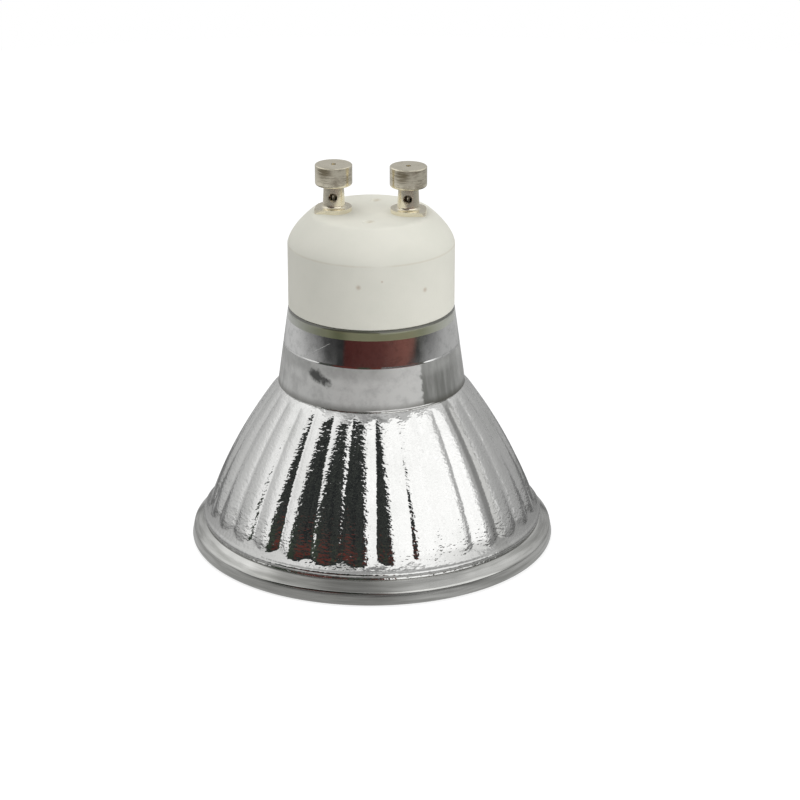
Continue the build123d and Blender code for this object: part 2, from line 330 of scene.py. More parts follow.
@dataclass(frozen=True)
class RippledMirror(Finish):
    """Metallised pressed glass of the bell: bright, with a fine ripple from the mould."""

    tint: Colour = (0.89, 0.89, 0.875, 1.0)
    dull_tint: Colour = (0.80, 0.805, 0.785, 1.0)
    dim_stretch_tint: Colour = (0.52, 0.52, 0.505, 1.0)
    foot_shade_tint: Colour = (0.50, 0.50, 0.488, 1.0)
    ripple: Grain = Grain(3000.0, 1.0, stretch=(0.6, 0.6, 1.0))
    ripple_height: float = 0.046 * MM
    dents: Grain = Grain(700.0, 1.0, stretch=(0.6, 0.6, 1.0))
    dent_height: float = 0.035 * MM
    cloud: Grain = Grain(160.0, 3.0)
    cloud_dulls: Easing = (0.45, 0.75, 0.0, 1.0)
    cloud_roughness: Easing = (0.3, 0.8, 0.05, 0.1)
    front_deg: float = 5.5
    side_haze: Easing = (44.0, 54.0, 0.0, 0.14)
    dim_stretch_band: Band = (53.0, 57.5, 2.0)
    foot_shade_rise: Easing = (5.3 * MM, 6.1 * MM, 1.0, 0.0)
    foot_shade_side: Easing = (12.0, 40.0, 0.1, 0.72)

    def build(self, bench: SurfaceBench) -> None:
        """Mirror whose ripple runs across the flutes, hazier round the back, with painted shade at the foot.

        Args:
            bench: the new material's nodes.
        """
        cloud = bench.grain(self.cloud)
        off = bench.apart(bench.azimuth, self.front_deg)
        tone = bench.blend(bench.ease(cloud, *self.cloud_dulls), self.tint, self.dull_tint)
        # Painted shade darkens the bell's foot, little at the front and most round the sides and back.
        foot = bench.times(bench.ease(bench.height, *self.foot_shade_rise), bench.ease(off, *self.foot_shade_side))
        tone = bench.blend(foot, tone, self.foot_shade_tint)
        dented = bench.bump(bench.grain(self.dents), self.dent_height)
        bench.set(
            # A darker stretch of the bell between two angles.
            Base_Color=bench.blend(bench.between(bench.azimuth, *self.dim_stretch_band), tone, self.dim_stretch_tint),
            Metallic=1.0,
            Roughness=bench.plus(bench.ease(cloud, *self.cloud_roughness), bench.ease(off, *self.side_haze)),
            Normal=bench.bump(bench.grain(self.ripple), self.ripple_height, dented),
        )


@dataclass(frozen=True)
class BeadMirror(Finish):
    """Metallised glass of the rim bead: smoother and a little duller than the bell."""

    tint: Colour = (0.78, 0.78, 0.755, 1.0)
    dull_tint: Colour = (0.50, 0.502, 0.48, 1.0)
    front_shade_tint: Colour = (0.24, 0.238, 0.22, 1.0)
    marks: Grain = Grain(900.0, 3.0, 0.6, (0.1, 0.1, 1.8))
    mark_height: float = 0.014 * MM
    marks_dull: Easing = (0.36, 0.66, 0.0, 1.0)
    cloud: Grain = Grain(120.0)
    cloud_roughness: Easing = (0.3, 0.8, 0.1, 0.2)
    front_shade_band: Band = (-24.0, 6.0, 16.0)
    front_shade_strength: float = 0.5

    def build(self, bench: SurfaceBench) -> None:
        """Smooth mirror with long marks round the rim, with painted shade darkening one stretch at the front.

        Args:
            bench: the new material's nodes.
        """
        marks = bench.grain(self.marks)
        tone = bench.blend(bench.ease(marks, *self.marks_dull), self.tint, self.dull_tint)
        # Painted shade darkens one stretch at the front of the bead.
        front_shade = bench.times(bench.between(bench.azimuth, *self.front_shade_band), self.front_shade_strength)
        bench.set(
            Base_Color=bench.blend(front_shade, tone, self.front_shade_tint),
            Metallic=1.0,
            Roughness=bench.ease(bench.grain(self.cloud), *self.cloud_roughness),
            Normal=bench.bump(marks, self.mark_height),
        )


@dataclass(frozen=True)
class NeckSatin(Finish):
    """Satin metallised band on the lower neck, with a darker streaked side, one smudge, painted shade near
    its top, on its side towards -X and towards the bell, and a painted highlight line near the bell.
    """

    tint: Colour = (0.71, 0.71, 0.692, 1.0)
    cloud_tint: Colour = (0.55, 0.55, 0.537, 1.0)
    dark_tint: Colour = (0.20, 0.203, 0.19, 1.0)
    smudge_tint: Colour = (0.03, 0.032, 0.03, 1.0)
    joint_shade_tint: Colour = (0.09, 0.088, 0.072, 1.0)
    joint_highlight_tint: Colour = (0.95, 0.95, 0.93, 1.0)
    metal: float = 0.3
    coat: float = 0.3
    coat_roughness: float = 0.08
    streaks: Grain = Grain(700.0, 3.0, 0.6, (1.0, 1.0, 0.1))
    cloud: Grain = Grain(420.0, 4.0, 0.65)
    cloud_shade: Easing = (0.4, 0.68, 0.0, 1.0)
    grain: Grain = Grain(2600.0)
    grain_height: float = 0.006 * MM
    grain_roughness: Easing = (0.2, 0.8, 0.34, 0.48)
    upper_shade_rise: Easing = (26.2 * MM, 27.6 * MM, 0.0, 0.3)
    upper_shade_side: Easing = (10.0, 28.0, 1.0, 0.0)
    dark_band: Band = (38.8, 88.0, 2.0)
    dark_wander_deg: float = 10.0
    dark_streaks: Easing = (0.3, 0.65, 0.72, 1.0)
    dark_rise: Easing = (26.2 * MM, 27.6 * MM, 1.0, 0.75)
    dark_side: Easing = (60.0, 88.0, 1.0, 0.55)
    left_shade_side: Easing = (-68.0, -46.0, 0.34, 0.0)
    left_shade_streaks: Easing = (0.35, 0.65, 0.0, 1.0)
    joint_height: float = 22.6 * MM
    joint_fade: float = 1.2 * MM
    joint_shade_side: Easing = (20.0, 42.0, 0.62, 0.9)
    joint_highlight_height: float = 22.78 * MM
    joint_highlight_width: float = 0.12 * MM
    joint_highlight_core: float = 0.4
    joint_highlight_band: Band = (8.0, 40.0, 8.0)
    smudge_deg: float = -31.5
    smudge_reach_deg: float = 11.0
    smudge_height: float = 26.75 * MM
    smudge_depth: float = 0.85 * MM
    smudge_slant: float = 0.9
    smudge_raggedness: float = 3.2
    smudge_edge: Easing = (0.25, 1.1, 0.9, 0.0)

    def build(self, bench: SurfaceBench) -> None:
        """Satin metal with fields of tone placed by angle and height.

        Args:
            bench: the new material's nodes.
        """
        angle, height = bench.azimuth, bench.height
        streaks = bench.grain(self.streaks)
        cloud = bench.grain(self.cloud)
        grain = bench.grain(self.grain)
        ragged = bench.plus(angle, bench.sway(cloud, self.dark_wander_deg))
        side = bench.times(
            bench.between(ragged, *self.dark_band),
            bench.ease(streaks, *self.dark_streaks),
            bench.ease(height, *self.dark_rise),
            bench.ease(angle, *self.dark_side),
        )
        # Painted shade on the side towards -X, cut into vertical streaks.
        wear_and_shade = bench.times(bench.ease(angle, *self.left_shade_side), bench.ease(streaks, *self.left_shade_streaks))
        # Painted shade darkens the band near its top, except towards +X.
        upper_shade = bench.times(bench.ease(height, *self.upper_shade_rise), bench.ease(angle, *self.upper_shade_side))
        tone = bench.blend(bench.ease(cloud, *self.cloud_shade), self.tint, self.cloud_tint)
        tone = bench.blend(upper_shade, tone, self.dark_tint)
        tone = bench.blend(bench.math("MAXIMUM", side, wear_and_shade), tone, self.dark_tint)
        tone = bench.blend(self.smudge(bench, cloud), tone, self.smudge_tint)
        bench.set(
            Base_Color=self.joint(bench, cloud, tone),
            Metallic=self.metal,
            Roughness=bench.ease(grain, *self.grain_roughness),
            Normal=bench.bump(grain, self.grain_height),
            Coat_Weight=self.coat,
            Coat_Roughness=self.coat_roughness,
        )

    def joint(self, bench: SurfaceBench, cloud: Socket, tone: Socket) -> Socket:
        """Paint shade on the neck towards the bell, and a painted highlight as a bright ragged line on one
        side.

        Args:
            bench: the material's nodes.
            cloud: noise that makes the edges ragged.
            tone: the colour so far.

        Returns:
            The colour's output socket.
        """
        height = bench.plus(bench.height, bench.sway(cloud, 2 * self.joint_highlight_width))
        # Painted shade towards the bell, strongest towards +X, and a painted highlight line just above the
        # joint.
        depth = bench.ease(bench.azimuth, *self.joint_shade_side)
        shade = bench.fall(height, self.joint_height, self.joint_height + self.joint_fade, depth)
        off = bench.apart(height, self.joint_highlight_height)
        line = bench.fall(off, self.joint_highlight_width * self.joint_highlight_core, self.joint_highlight_width)
        line = bench.times(line, bench.between(bench.azimuth, *self.joint_highlight_band))
        return bench.blend(line, bench.blend(shade, tone, self.joint_shade_tint), self.joint_highlight_tint)

    def smudge(self, bench: SurfaceBench, cloud: Socket) -> Socket:
        """Mask of the flat ragged smudge.

        Args:
            bench: the material's nodes.
            cloud: noise that makes its edge ragged.

        Returns:
            The mask's output socket.
        """
        along = bench.over(bench.minus(bench.azimuth, self.smudge_deg), self.smudge_reach_deg)
        rise = bench.over(bench.minus(bench.height, self.smudge_height), self.smudge_depth)
        rise = bench.plus(rise, bench.times(along, self.smudge_slant))
        gap = bench.math("SQRT", bench.plus(bench.times(along, along), bench.times(rise, rise)))
        return bench.ease(bench.plus(gap, bench.sway(cloud, self.smudge_raggedness)), *self.smudge_edge)


@dataclass(frozen=True)
class NeckMirror(Finish):
    """Clean mirror band under the base, with the coating's edge at its foot and one long scratch."""

    tint: Colour = (0.84, 0.84, 0.83, 1.0)
    dull_tint: Colour = (0.68, 0.684, 0.672, 1.0)
    marks: Grain = Grain(500.0, 3.0, stretch=(1.0, 1.0, 0.35))
    mark_height: float = 0.012 * MM
    mark_roughness: Easing = (0.3, 0.8, 0.05, 0.12)
    specks: Grain = Grain(1000.0, 4.0, 0.65)
    specks_dull: Easing = (0.45, 0.72, 0.0, 1.0)
    edge_height: float = 28.4 * MM
    edge_width: float = 0.3 * MM
    edge_relief: float = 0.075 * MM
    front_deg: float = 5.5
    edge_side: Easing = (32.0, 44.0, 0.2, 1.0)
    scratch_from_deg: float = -42.0
    scratch_to_deg: float = -23.0
    scratch_foot: float = 29.0 * MM
    scratch_head: float = 31.4 * MM
    scratch_width: float = 0.09 * MM
    scratch_core: float = 0.4
    scratch_roughness: float = 0.34

    def build(self, bench: SurfaceBench) -> None:
        """Smooth mirror with faint drawn marks, a raised edge and a slanting scratch.

        Args:
            bench: the new material's nodes.
        """
        marks = bench.grain(self.marks)
        tone = bench.blend(bench.ease(bench.grain(self.specks), *self.specks_dull), self.tint, self.dull_tint)
        slope = (self.scratch_head - self.scratch_foot) / (self.scratch_to_deg - self.scratch_from_deg)
        climb = bench.times(bench.minus(bench.azimuth, self.scratch_from_deg), slope)
        off = bench.apart(bench.height, bench.plus(climb, self.scratch_foot))
        scratched = bench.times(
            bench.fall(off, self.scratch_width * self.scratch_core, self.scratch_width),
            bench.math("GREATER_THAN", bench.azimuth, self.scratch_from_deg),
            bench.math("LESS_THAN", bench.azimuth, self.scratch_to_deg),
            self.scratch_roughness,
        )
        edge = bench.times(
            bench.ease(bench.height, self.edge_height, self.edge_height + self.edge_width),
            bench.ease(bench.apart(bench.azimuth, self.front_deg), *self.edge_side),
        )
        bench.set(
            Base_Color=tone,
            Metallic=1.0,
            Roughness=bench.math("MAXIMUM", bench.ease(marks, *self.mark_roughness), scratched),
            Normal=bench.bump(edge, -self.edge_relief, bench.bump(marks, self.mark_height)),
        )


@dataclass(frozen=True)
class ClearGlassEdge(Finish):
    """Bare glass at the top of the neck, olive where it is looked into along its depth."""

    tint: Colour = (0.22, 0.227, 0.142, 1.0)
    deep_tint: Colour = (0.14, 0.15, 0.085, 1.0)
    pale_reflection_tint: Colour = (0.40, 0.41, 0.36, 1.0)
    gap_shadow_tint: Colour = (0.05, 0.048, 0.042, 1.0)
    cloud: Grain = Grain(200.0, stretch=(1.0, 1.0, 0.3))
    cloud_deepens: Easing = (0.5, 0.75, 0.0, 0.5)
    deep_middle_deg: float = -17.0
    deep_reach_deg: float = 10.0
    olive_middle_deg: float = 5.5
    pale_reflection_side: Easing = (26.0, 66.0, 0.0, 1.0)
    gap_shadow_rise: Easing = (33.12 * MM, 33.3 * MM, 0.0, 0.8)
    roughness: float = 0.1
    coat_roughness: float = 0.02
    index: float = 1.5

    def build(self, bench: SurfaceBench) -> None:
        """Olive glass with a polished skin, deepest in one stretch, paled round the back by a painted
        reflection, with painted shadow at its top.

        Args:
            bench: the new material's nodes.
        """
        deep = bench.math(
            "MAXIMUM",
            bench.fall(bench.apart(bench.azimuth, self.deep_middle_deg), 0.0, self.deep_reach_deg),
            bench.ease(bench.grain(self.cloud), *self.cloud_deepens),
        )
        # Painted reflection: the glass pales away from the front, round the sides and back.
        pale = bench.ease(bench.apart(bench.azimuth, self.olive_middle_deg), *self.pale_reflection_side)
        tone = bench.blend(pale, bench.blend(deep, self.tint, self.deep_tint), self.pale_reflection_tint)
        bench.set(
            # Painted shadow: the top of the edge, under the ceramic, darkens almost to black.
            Base_Color=bench.blend(bench.ease(bench.height, *self.gap_shadow_rise), tone, self.gap_shadow_tint),
            Roughness=self.roughness,
            IOR=self.index,
            Coat_Weight=1.0,
            Coat_Roughness=self.coat_roughness,
        )


@dataclass(frozen=True)
class FiredCeramic(Finish):
    """Unglazed off-white ceramic with a fine grain, a few iron specks, painted shade in its dimples and a
    faint tan line at the shoulder's edge.
    """

    tint: Colour = (0.83, 0.82, 0.735, 1.0)
    shade_tint: Colour = (0.795, 0.79, 0.705, 1.0)
    speck_tint: Colour = (0.42, 0.29, 0.18, 1.0)
    tan_tint: Colour = (0.56, 0.47, 0.33, 1.0)
    cloud: Grain = Grain(130.0, 4.0, 0.6)
    cloud_shade: Easing = (0.35, 0.7, 0.0, 1.0)
    grain: Grain = Grain(3800.0, 3.0, 0.6)
    grain_height: float = 0.012 * MM
    grain_roughness: Easing = (0.2, 0.8, 0.62, 0.78)
    shine: float = 0.35
    wall_radius: float = 11.25 * MM
    speck_angles_deg: tuple[float, ...] = (-3.2, 44.4, 12.6)
    speck_heights: tuple[float, ...] = (39.5 * MM, 38.4 * MM, 40.3 * MM)
    speck_sizes: tuple[float, ...] = (0.5 * MM, 0.5 * MM, 0.22 * MM)
    speck_strength: float = 0.5
    dimple_shade_places: tuple[Place, ...] = ((0.35, -4.8, 46.5), (0.3, 5.2, 46.5))
    dimple_shade_radius: float = 0.9 * MM
    dimple_shade_strength: float = 0.4
    edge_height: float = 42.35 * MM
    edge_width: float = 0.2 * MM
    edge_cloud: Easing = (0.4, 0.6, 0.0, 0.24)

    def build(self, bench: SurfaceBench) -> None:
        """Matte body with cloudy tone, grain, specks, painted shade in the dimples and a tan line at the
        shoulder's edge.

        Args:
            bench: the new material's nodes.
        """
        cloud = bench.grain(self.cloud)
        grain = bench.grain(self.grain)
        tone = bench.blend(bench.ease(cloud, *self.cloud_shade), self.tint, self.shade_tint)
        for angle, height, size in zip(self.speck_angles_deg, self.speck_heights, self.speck_sizes):
            turn = math.radians(angle)
            centre = Vector((math.sin(turn) * self.wall_radius, -math.cos(turn) * self.wall_radius, height))
            mask = bench.times(bench.spot(centre, size), self.speck_strength)
            tone = bench.blend(mask, tone, self.speck_tint)
        # Painted shade: tan patches darken the two dimples in the top.
        for place in self.dimple_shade_places:
            mask = bench.times(bench.spot(Vector(place) * MM, self.dimple_shade_radius), self.dimple_shade_strength)
            tone = bench.blend(mask, tone, self.tan_tint)
        edge = bench.between(bench.height, self.edge_height, self.edge_height, self.edge_width)
        edge = bench.times(edge, bench.ease(cloud, *self.edge_cloud))
        bench.set(
            Base_Color=bench.blend(edge, tone, self.tan_tint),
            Roughness=bench.ease(grain, *self.grain_roughness),
            Specular_IOR_Level=self.shine,
            Normal=bench.bump(grain, self.grain_height),
        )


@dataclass(frozen=True)
class NickelPin(Finish):
    """Nickel plated pin metal with fine turned lines, wear, and painted shade on the front of each head."""

    tint: Colour = (0.97, 0.905, 0.735, 1.0)
    dull_tint: Colour = (0.33, 0.283, 0.195, 1.0)
    turned: Grain = Grain(2400.0, 3.0, 0.65, (0.3, 0.3, 2.4))
    turned_height: float = 0.003 * MM
    wear: Grain = Grain(620.0, 3.0, 0.6)
    wear_roughness: Easing = (0.3, 0.75, 0.12, 0.24)
    worn_range: Easing = (0.42, 0.68, 0.0, 0.75)
    head_foot: float = 50.1 * MM
    head_top: float = 52.8 * MM
    stem_wear: float = 0.3
    stem_metal: float = 0.87
    head_shade_places: tuple[Place, ...] = ((-6.1, -2.2, 52.5), (4.3, -2.5, 52.2))
    head_shade_radius: float = 2.1 * MM
    head_shade_range: Easing = (0.04, 0.5, 0.0, 1.0)

    def build(self, bench: SurfaceBench) -> None:
        """Metal turned round the pin, with most wear round its head and painted shade on the head.

        Args:
            bench: the new material's nodes.
        """
        turned = bench.grain(self.turned)
        wear = bench.grain(self.wear)
        head = bench.times(
            bench.math("GREATER_THAN", bench.height, self.head_foot),
            bench.math("LESS_THAN", bench.height, self.head_top),
        )
        wear_and_shade = bench.ease(bench.times(bench.plus(turned, wear), 0.5), *self.worn_range)
        # Painted shade: a dark patch on the front of each head, towards its left, broken by the turned lines.
        for place in self.head_shade_places:
            head_shade = bench.times(bench.spot(Vector(place) * MM, self.head_shade_radius), turned)
            wear_and_shade = bench.math("MAXIMUM", wear_and_shade, bench.ease(head_shade, *self.head_shade_range))
        wear_and_shade = bench.times(wear_and_shade, bench.ease(head, 0.0, 1.0, self.stem_wear, 1.0))
        bench.set(
            Base_Color=bench.blend(wear_and_shade, self.tint, self.dull_tint),
            Metallic=bench.ease(head, 0.0, 1.0, self.stem_metal, 1.0),
            Roughness=bench.ease(wear, *self.wear_roughness),
            Normal=bench.bump(turned, self.turned_height),
        )


@dataclass(frozen=True)
class WovenSleeve(Finish):
    """Woven glass-fibre sleeve on the fused lead."""

    tint: Colour = (0.86, 0.85, 0.80, 1.0)
    gap_shadow_tint: Colour = (0.58, 0.57, 0.52, 1.0)
    weave_per_metre: float = 1400.0
    weave_unevenness: float = 1.5
    weave_height: float = 0.03 * MM
    roughness: float = 0.8

    def build(self, bench: SurfaceBench) -> None:
        """Fine crossed weave.

        Args:
            bench: the new material's nodes.
        """
        inputs = {"Vector": bench.place, "Scale": self.weave_per_metre, "Distortion": self.weave_unevenness}
        weave = bench.add("ShaderNodeTexWave", inputs, bands_direction="DIAGONAL").outputs["Fac"]
        bench.set(
            Base_Color=bench.blend(weave, self.gap_shadow_tint, self.tint),
            Roughness=self.roughness,
            Normal=bench.bump(weave, self.weave_height),
        )


@dataclass(frozen=True)
class PlainFinish(Finish):
    """A finish whose tone, roughness and relief all follow one noise pattern."""

    tint: Colour
    dull_tint: Colour
    grain: Grain
    roughness: float
    unevenness: float = 0.0
    uneven_from: float = 0.3
    uneven_to: float = 0.8
    metal: float = 0.0
    relief: float = 0.0
    clearness: float = 0.0
    index: float = 1.5

    def build(self, bench: SurfaceBench) -> None:
        """Two tones mixed by the pattern, on metal, on glass or on a matte body.

        Args:
            bench: the new material's nodes.
        """
        grain = bench.grain(self.grain)
        roughest = self.roughness + self.unevenness
        bench.set(
            Base_Color=bench.blend(grain, self.tint, self.dull_tint),
            Metallic=self.metal,
            Roughness=bench.ease(grain, self.uneven_from, self.uneven_to, self.roughness, roughest),
            Transmission_Weight=self.clearness,
            IOR=self.index,
        )
        if self.relief:
            bench.set(Normal=bench.bump(grain, self.relief))


@dataclass(frozen=True)
class InnerMirror(PlainFinish):
    """Aluminised inside of the bowl: a bright mirror with a slight cloud."""

    tint: Colour = (0.91, 0.91, 0.90, 1.0)
    dull_tint: Colour = (0.84, 0.84, 0.83, 1.0)
    grain: Grain = Grain(300.0)
    roughness: float = 0.06
    unevenness: float = 0.06
    metal: float = 1.0


@dataclass(frozen=True)
class ClearGlass(PlainFinish):
    """Clear cover glass with a barely uneven skin."""

    tint: Colour = (0.97, 0.985, 0.975, 1.0)
    dull_tint: Colour = (0.97, 0.985, 0.975, 1.0)
    grain: Grain = Grain(140.0, 1.0)
    roughness: float = 0.0
    unevenness: float = 0.03
    clearness: float = 1.0


@dataclass(frozen=True)
class FusedQuartz(PlainFinish):
    """Clear quartz of the capsule, with slight flow lines."""

    tint: Colour = (0.98, 0.985, 0.99, 1.0)
    dull_tint: Colour = (0.98, 0.985, 0.99, 1.0)
    grain: Grain = Grain(500.0, stretch=(1.0, 1.0, 0.3))
    roughness: float = 0.0
    unevenness: float = 0.04
    relief: float = 0.01 * MM
    clearness: float = 1.0
    index: float = 1.46


@dataclass(frozen=True)
class GrainyCement(PlainFinish):
    """Set cement of the base and the capsule, with a coarse matte grain."""

    tint: Colour = (0.74, 0.72, 0.66, 1.0)
    dull_tint: Colour = (0.56, 0.54, 0.49, 1.0)
    grain: Grain = Grain(1600.0, 4.0, 0.7)
    roughness: float = 0.9
    relief: float = 0.05 * MM


@dataclass(frozen=True)
class CuredAdhesive(PlainFinish):
    """Cured translucent adhesive round the cover glass: a soft satin bead with small ripples."""

    tint: Colour = (0.80, 0.80, 0.78, 1.0)
    dull_tint: Colour = (0.68, 0.68, 0.65, 1.0)
    grain: Grain = Grain(700.0)
    roughness: float = 0.45
    relief: float = 0.03 * MM


@dataclass(frozen=True)
class DrawnWire(PlainFinish):
    """Lead wire, support wire and foil, with drawing lines along them."""

    tint: Colour = (0.60, 0.59, 0.57, 1.0)
    dull_tint: Colour = (0.40, 0.39, 0.38, 1.0)
    grain: Grain = Grain(3200.0, stretch=(1.0, 1.0, 0.1))
    roughness: float = 0.32
    metal: float = 1.0


@dataclass(frozen=True)
class CoilTungsten(PlainFinish):
    """Dull grey tungsten of the filament, with patches of oxide."""

    tint: Colour = (0.36, 0.35, 0.34, 1.0)
    dull_tint: Colour = (0.22, 0.215, 0.21, 1.0)
    grain: Grain = Grain(2000.0)
    roughness: float = 0.45
    metal: float = 1.0


OPEN = -1


@dataclass
class SectionLine:
    """Half section of a turned piece, walked point by point, in millimetres."""

    points: list[tuple[float, float]] = field(default_factory=list)
    zones: list[int] = field(default_factory=list)

    def start(self, radius: float, height: float) -> None:
        """Put the first point down."""
        self.points.append((radius, height))

    def reach(self, radius: float, height: float, zone: int) -> None:
        """Put the next point down, at the end of a row of one zone."""
        self.points.append((radius, height))
        self.zones.append(zone)

    def close(self, zone: int = 0) -> None:
        """End with a row from the last point back to the first."""
        self.zones.append(zone)

    def line(self, radius: float, height: float, zone: int = 0, steps: int = 1) -> None:
        """Go straight to a point.

        Args:
            radius: the end's distance from the axis.
            height: the end's height.
            zone: material index of the stretch.
            steps: number of rows it is divided into.
        """
        first_radius, first_height = self.points[-1]
        for step in range(1, steps + 1):
            share = step / steps
            next_radius = first_radius + share * (radius - first_radius)
            self.reach(next_radius, first_height + share * (height - first_height), zone)

    def arc(self, centre: tuple[float, float], radius: float, first_deg: float, last_deg: float, zone: int,
            steps: int, lead_in: bool = False) -> None:
        """Follow part of a circle.

        Args:
            centre: the circle's centre.
            radius: its radius.
            first_deg: angle of its first point.
            last_deg: angle where it ends.
            zone: material index of the stretch.
            steps: number of rows.
            lead_in: whether a straight row leads to its first point, or the walk is already there.
        """
        for step in range(0 if lead_in else 1, steps + 1):
            turn = math.radians(first_deg + (last_deg - first_deg) * step / steps)
            self.reach(centre[0] + radius * math.cos(turn), centre[1] + radius * math.sin(turn), zone)

    def curve(self, control: Sequence[float], end: Sequence[float], zone: int, steps: int,
              until: float = 1.0) -> None:
        """Follow a stretch that is bent towards a control point.

        Args:
            control: the point that bends the stretch.
            end: where the whole stretch ends.
            zone: material index of the stretch.
            steps: number of rows.
            until: share of the stretch that is walked.
        """
        first, bend, last = Vector(self.points[-1]), Vector(control), Vector(end)
        for step in range(1, steps + 1):
            share = until * step / steps
            point = first * (1 - share) ** 2 + bend * 2 * share * (1 - share) + last * share**2
            self.reach(point.x, point.y, zone)

    def rounded(self, corner: Sequence[float], end: Sequence[float], radius: float, zone: int,
                steps: int) -> None:
        """Go straight to a corner, round it and go on to a point.

        Args:
            corner: the corner that is rounded.
            end: where the walk ends.
            radius: the rounding's radius.
            zone: material index of the stretch.
            steps: number of rows of the rounding and of the stretch after it.
        """
        first, middle, last = Vector(self.points[-1]), Vector(corner), Vector(end)
        arriving = (middle - first).normalized()
        leaving = (last - middle).normalized()
        reach = radius * math.tan(arriving.angle(leaving) / 2)
        start = middle - arriving * reach
        self.line(start.x, start.y, zone)
        self.curve(corner, middle + leaving * reach, zone, steps)
        self.line(last.x, last.y, zone, steps)

    def jump(self, radius: float, height: float) -> None:
        """Go on from another point, with no surface between."""
        self.reach(radius, height, OPEN)

    def follow(self, rule: Callable[[float], float], last_height: float, zone: int, steps: int) -> None:
        """Follow a radius given as a rule of the height.

        Args:
            rule: radius at a height.
            last_height: where the stretch ends.
            zone: material index of the stretch.
            steps: number of rows.
        """
        first_height = self.points[-1][1]
        for step in range(1, steps + 1):
            height = first_height + (last_height - first_height) * step / steps
            self.reach(rule(height), height, zone)

    def turned(self, name: str, segments: int) -> bpy.types.Mesh:
        """Turn the closed section about the axis.

        Args:
            name: the mesh's name.
            segments: number of steps round the axis.

        Returns:
            A closed mesh in metres with a material index on each face.
        """
        rows = len(self.points)
        turns = [math.tau * step / segments for step in range(segments)]
        corners = [
            (radius * math.cos(turn) * MM, radius * math.sin(turn) * MM, height * MM)
            for radius, height in self.points
            for turn in turns
        ]
        faces = []
        for row in range(rows):
            if self.zones[row] == OPEN:
                continue
            first = row * segments
            above = (row + 1) % rows * segments
            for step in range(segments):
                beside = (step + 1) % segments
                faces.append((first + step, first + beside, above + beside, above + step))
        mesh = bpy.data.meshes.new(name)
        mesh.from_pydata(corners, [], faces)
        zones = [zone for zone in self.zones if zone != OPEN for _ in range(segments)]
        mesh.polygons.foreach_set("material_index", zones)
        return mesh


def close_up(mesh: bpy.types.Mesh, join_within: float = 0.0001 * MM) -> None:
    """Join the corners that coincide, and make every face point outwards.

    Args:
        mesh: the mesh that changes.
        join_within: distance in metres under which corners coincide.
    """
    work = bmesh.new()
    work.from_mesh(mesh)
    bmesh.ops.remove_doubles(work, verts=work.verts, dist=join_within)
    bmesh.ops.recalc_face_normals(work, faces=work.faces)
    work.to_mesh(mesh)
    work.free()


def smooth(mesh: bpy.types.Mesh, crease_deg: float) -> None:
    """Shade a mesh smooth, with its real corners kept sharp."""
    mesh.polygons.foreach_set("use_smooth", [True] * len(mesh.polygons))
    mesh.set_sharp_from_angle(angle=math.radians(crease_deg))


def shown(name: str, data: bpy.types.ID) -> bpy.types.Object:
    """Put a mesh, a lamp or a camera in the scene as an object at the origin.

    Args:
        name: the object's name.
        data: what the object shows.

    Returns:
        The object.
    """
    thing = bpy.data.objects.new(name, data)
    bpy.context.scene.collection.objects.link(thing)
    return thing


def settle(piece: bpy.types.Object) -> None:
    """Turn a piece's modifiers into plain mesh.

    Args:
        piece: the piece that changes.
    """
    evaluated = piece.evaluated_get(bpy.context.evaluated_depsgraph_get())
    mesh = bpy.data.meshes.new_from_object(evaluated)
    piece.modifiers.clear()
    mesh.name = piece.name
    piece.data = mesh


def rod(radius: float, length: float, place: Matrix, segments: int = 64) -> bpy.types.Mesh:
    """Closed cylinder about a place's own Z axis, in metres.

    Args:
        radius: the cylinder's radius.
        length: its length.
        place: its middle and direction.
        segments: number of its sides.

    Returns:
        The mesh.
    """
    mesh = bpy.data.meshes.new("rod")
    work = bmesh.new()
    bmesh.ops.create_cone(work, cap_ends=True, segments=segments, radius1=radius, radius2=radius,
                          depth=length, matrix=place)
    work.to_mesh(mesh)
    work.free()
    return mesh


class Carving(Enum):
    """What a tool does to a piece."""

    CUT = "DIFFERENCE"
    JOIN = "UNION"

    def apply(self, piece: bpy.types.Object, tool_mesh: bpy.types.Mesh) -> None:
        """Cut a tool out of a piece or join it on, and leave the piece a plain mesh.

        Args:
            piece: the piece that changes.
            tool_mesh: closed mesh of the tool, which is used up.
        """
        tool = shown("tool", tool_mesh)
        modifier = piece.modifiers.new("carving", "BOOLEAN")
        modifier.operation = self.value
        modifier.solver = "EXACT"
        modifier.object = tool
        settle(piece)
        bpy.data.objects.remove(tool)


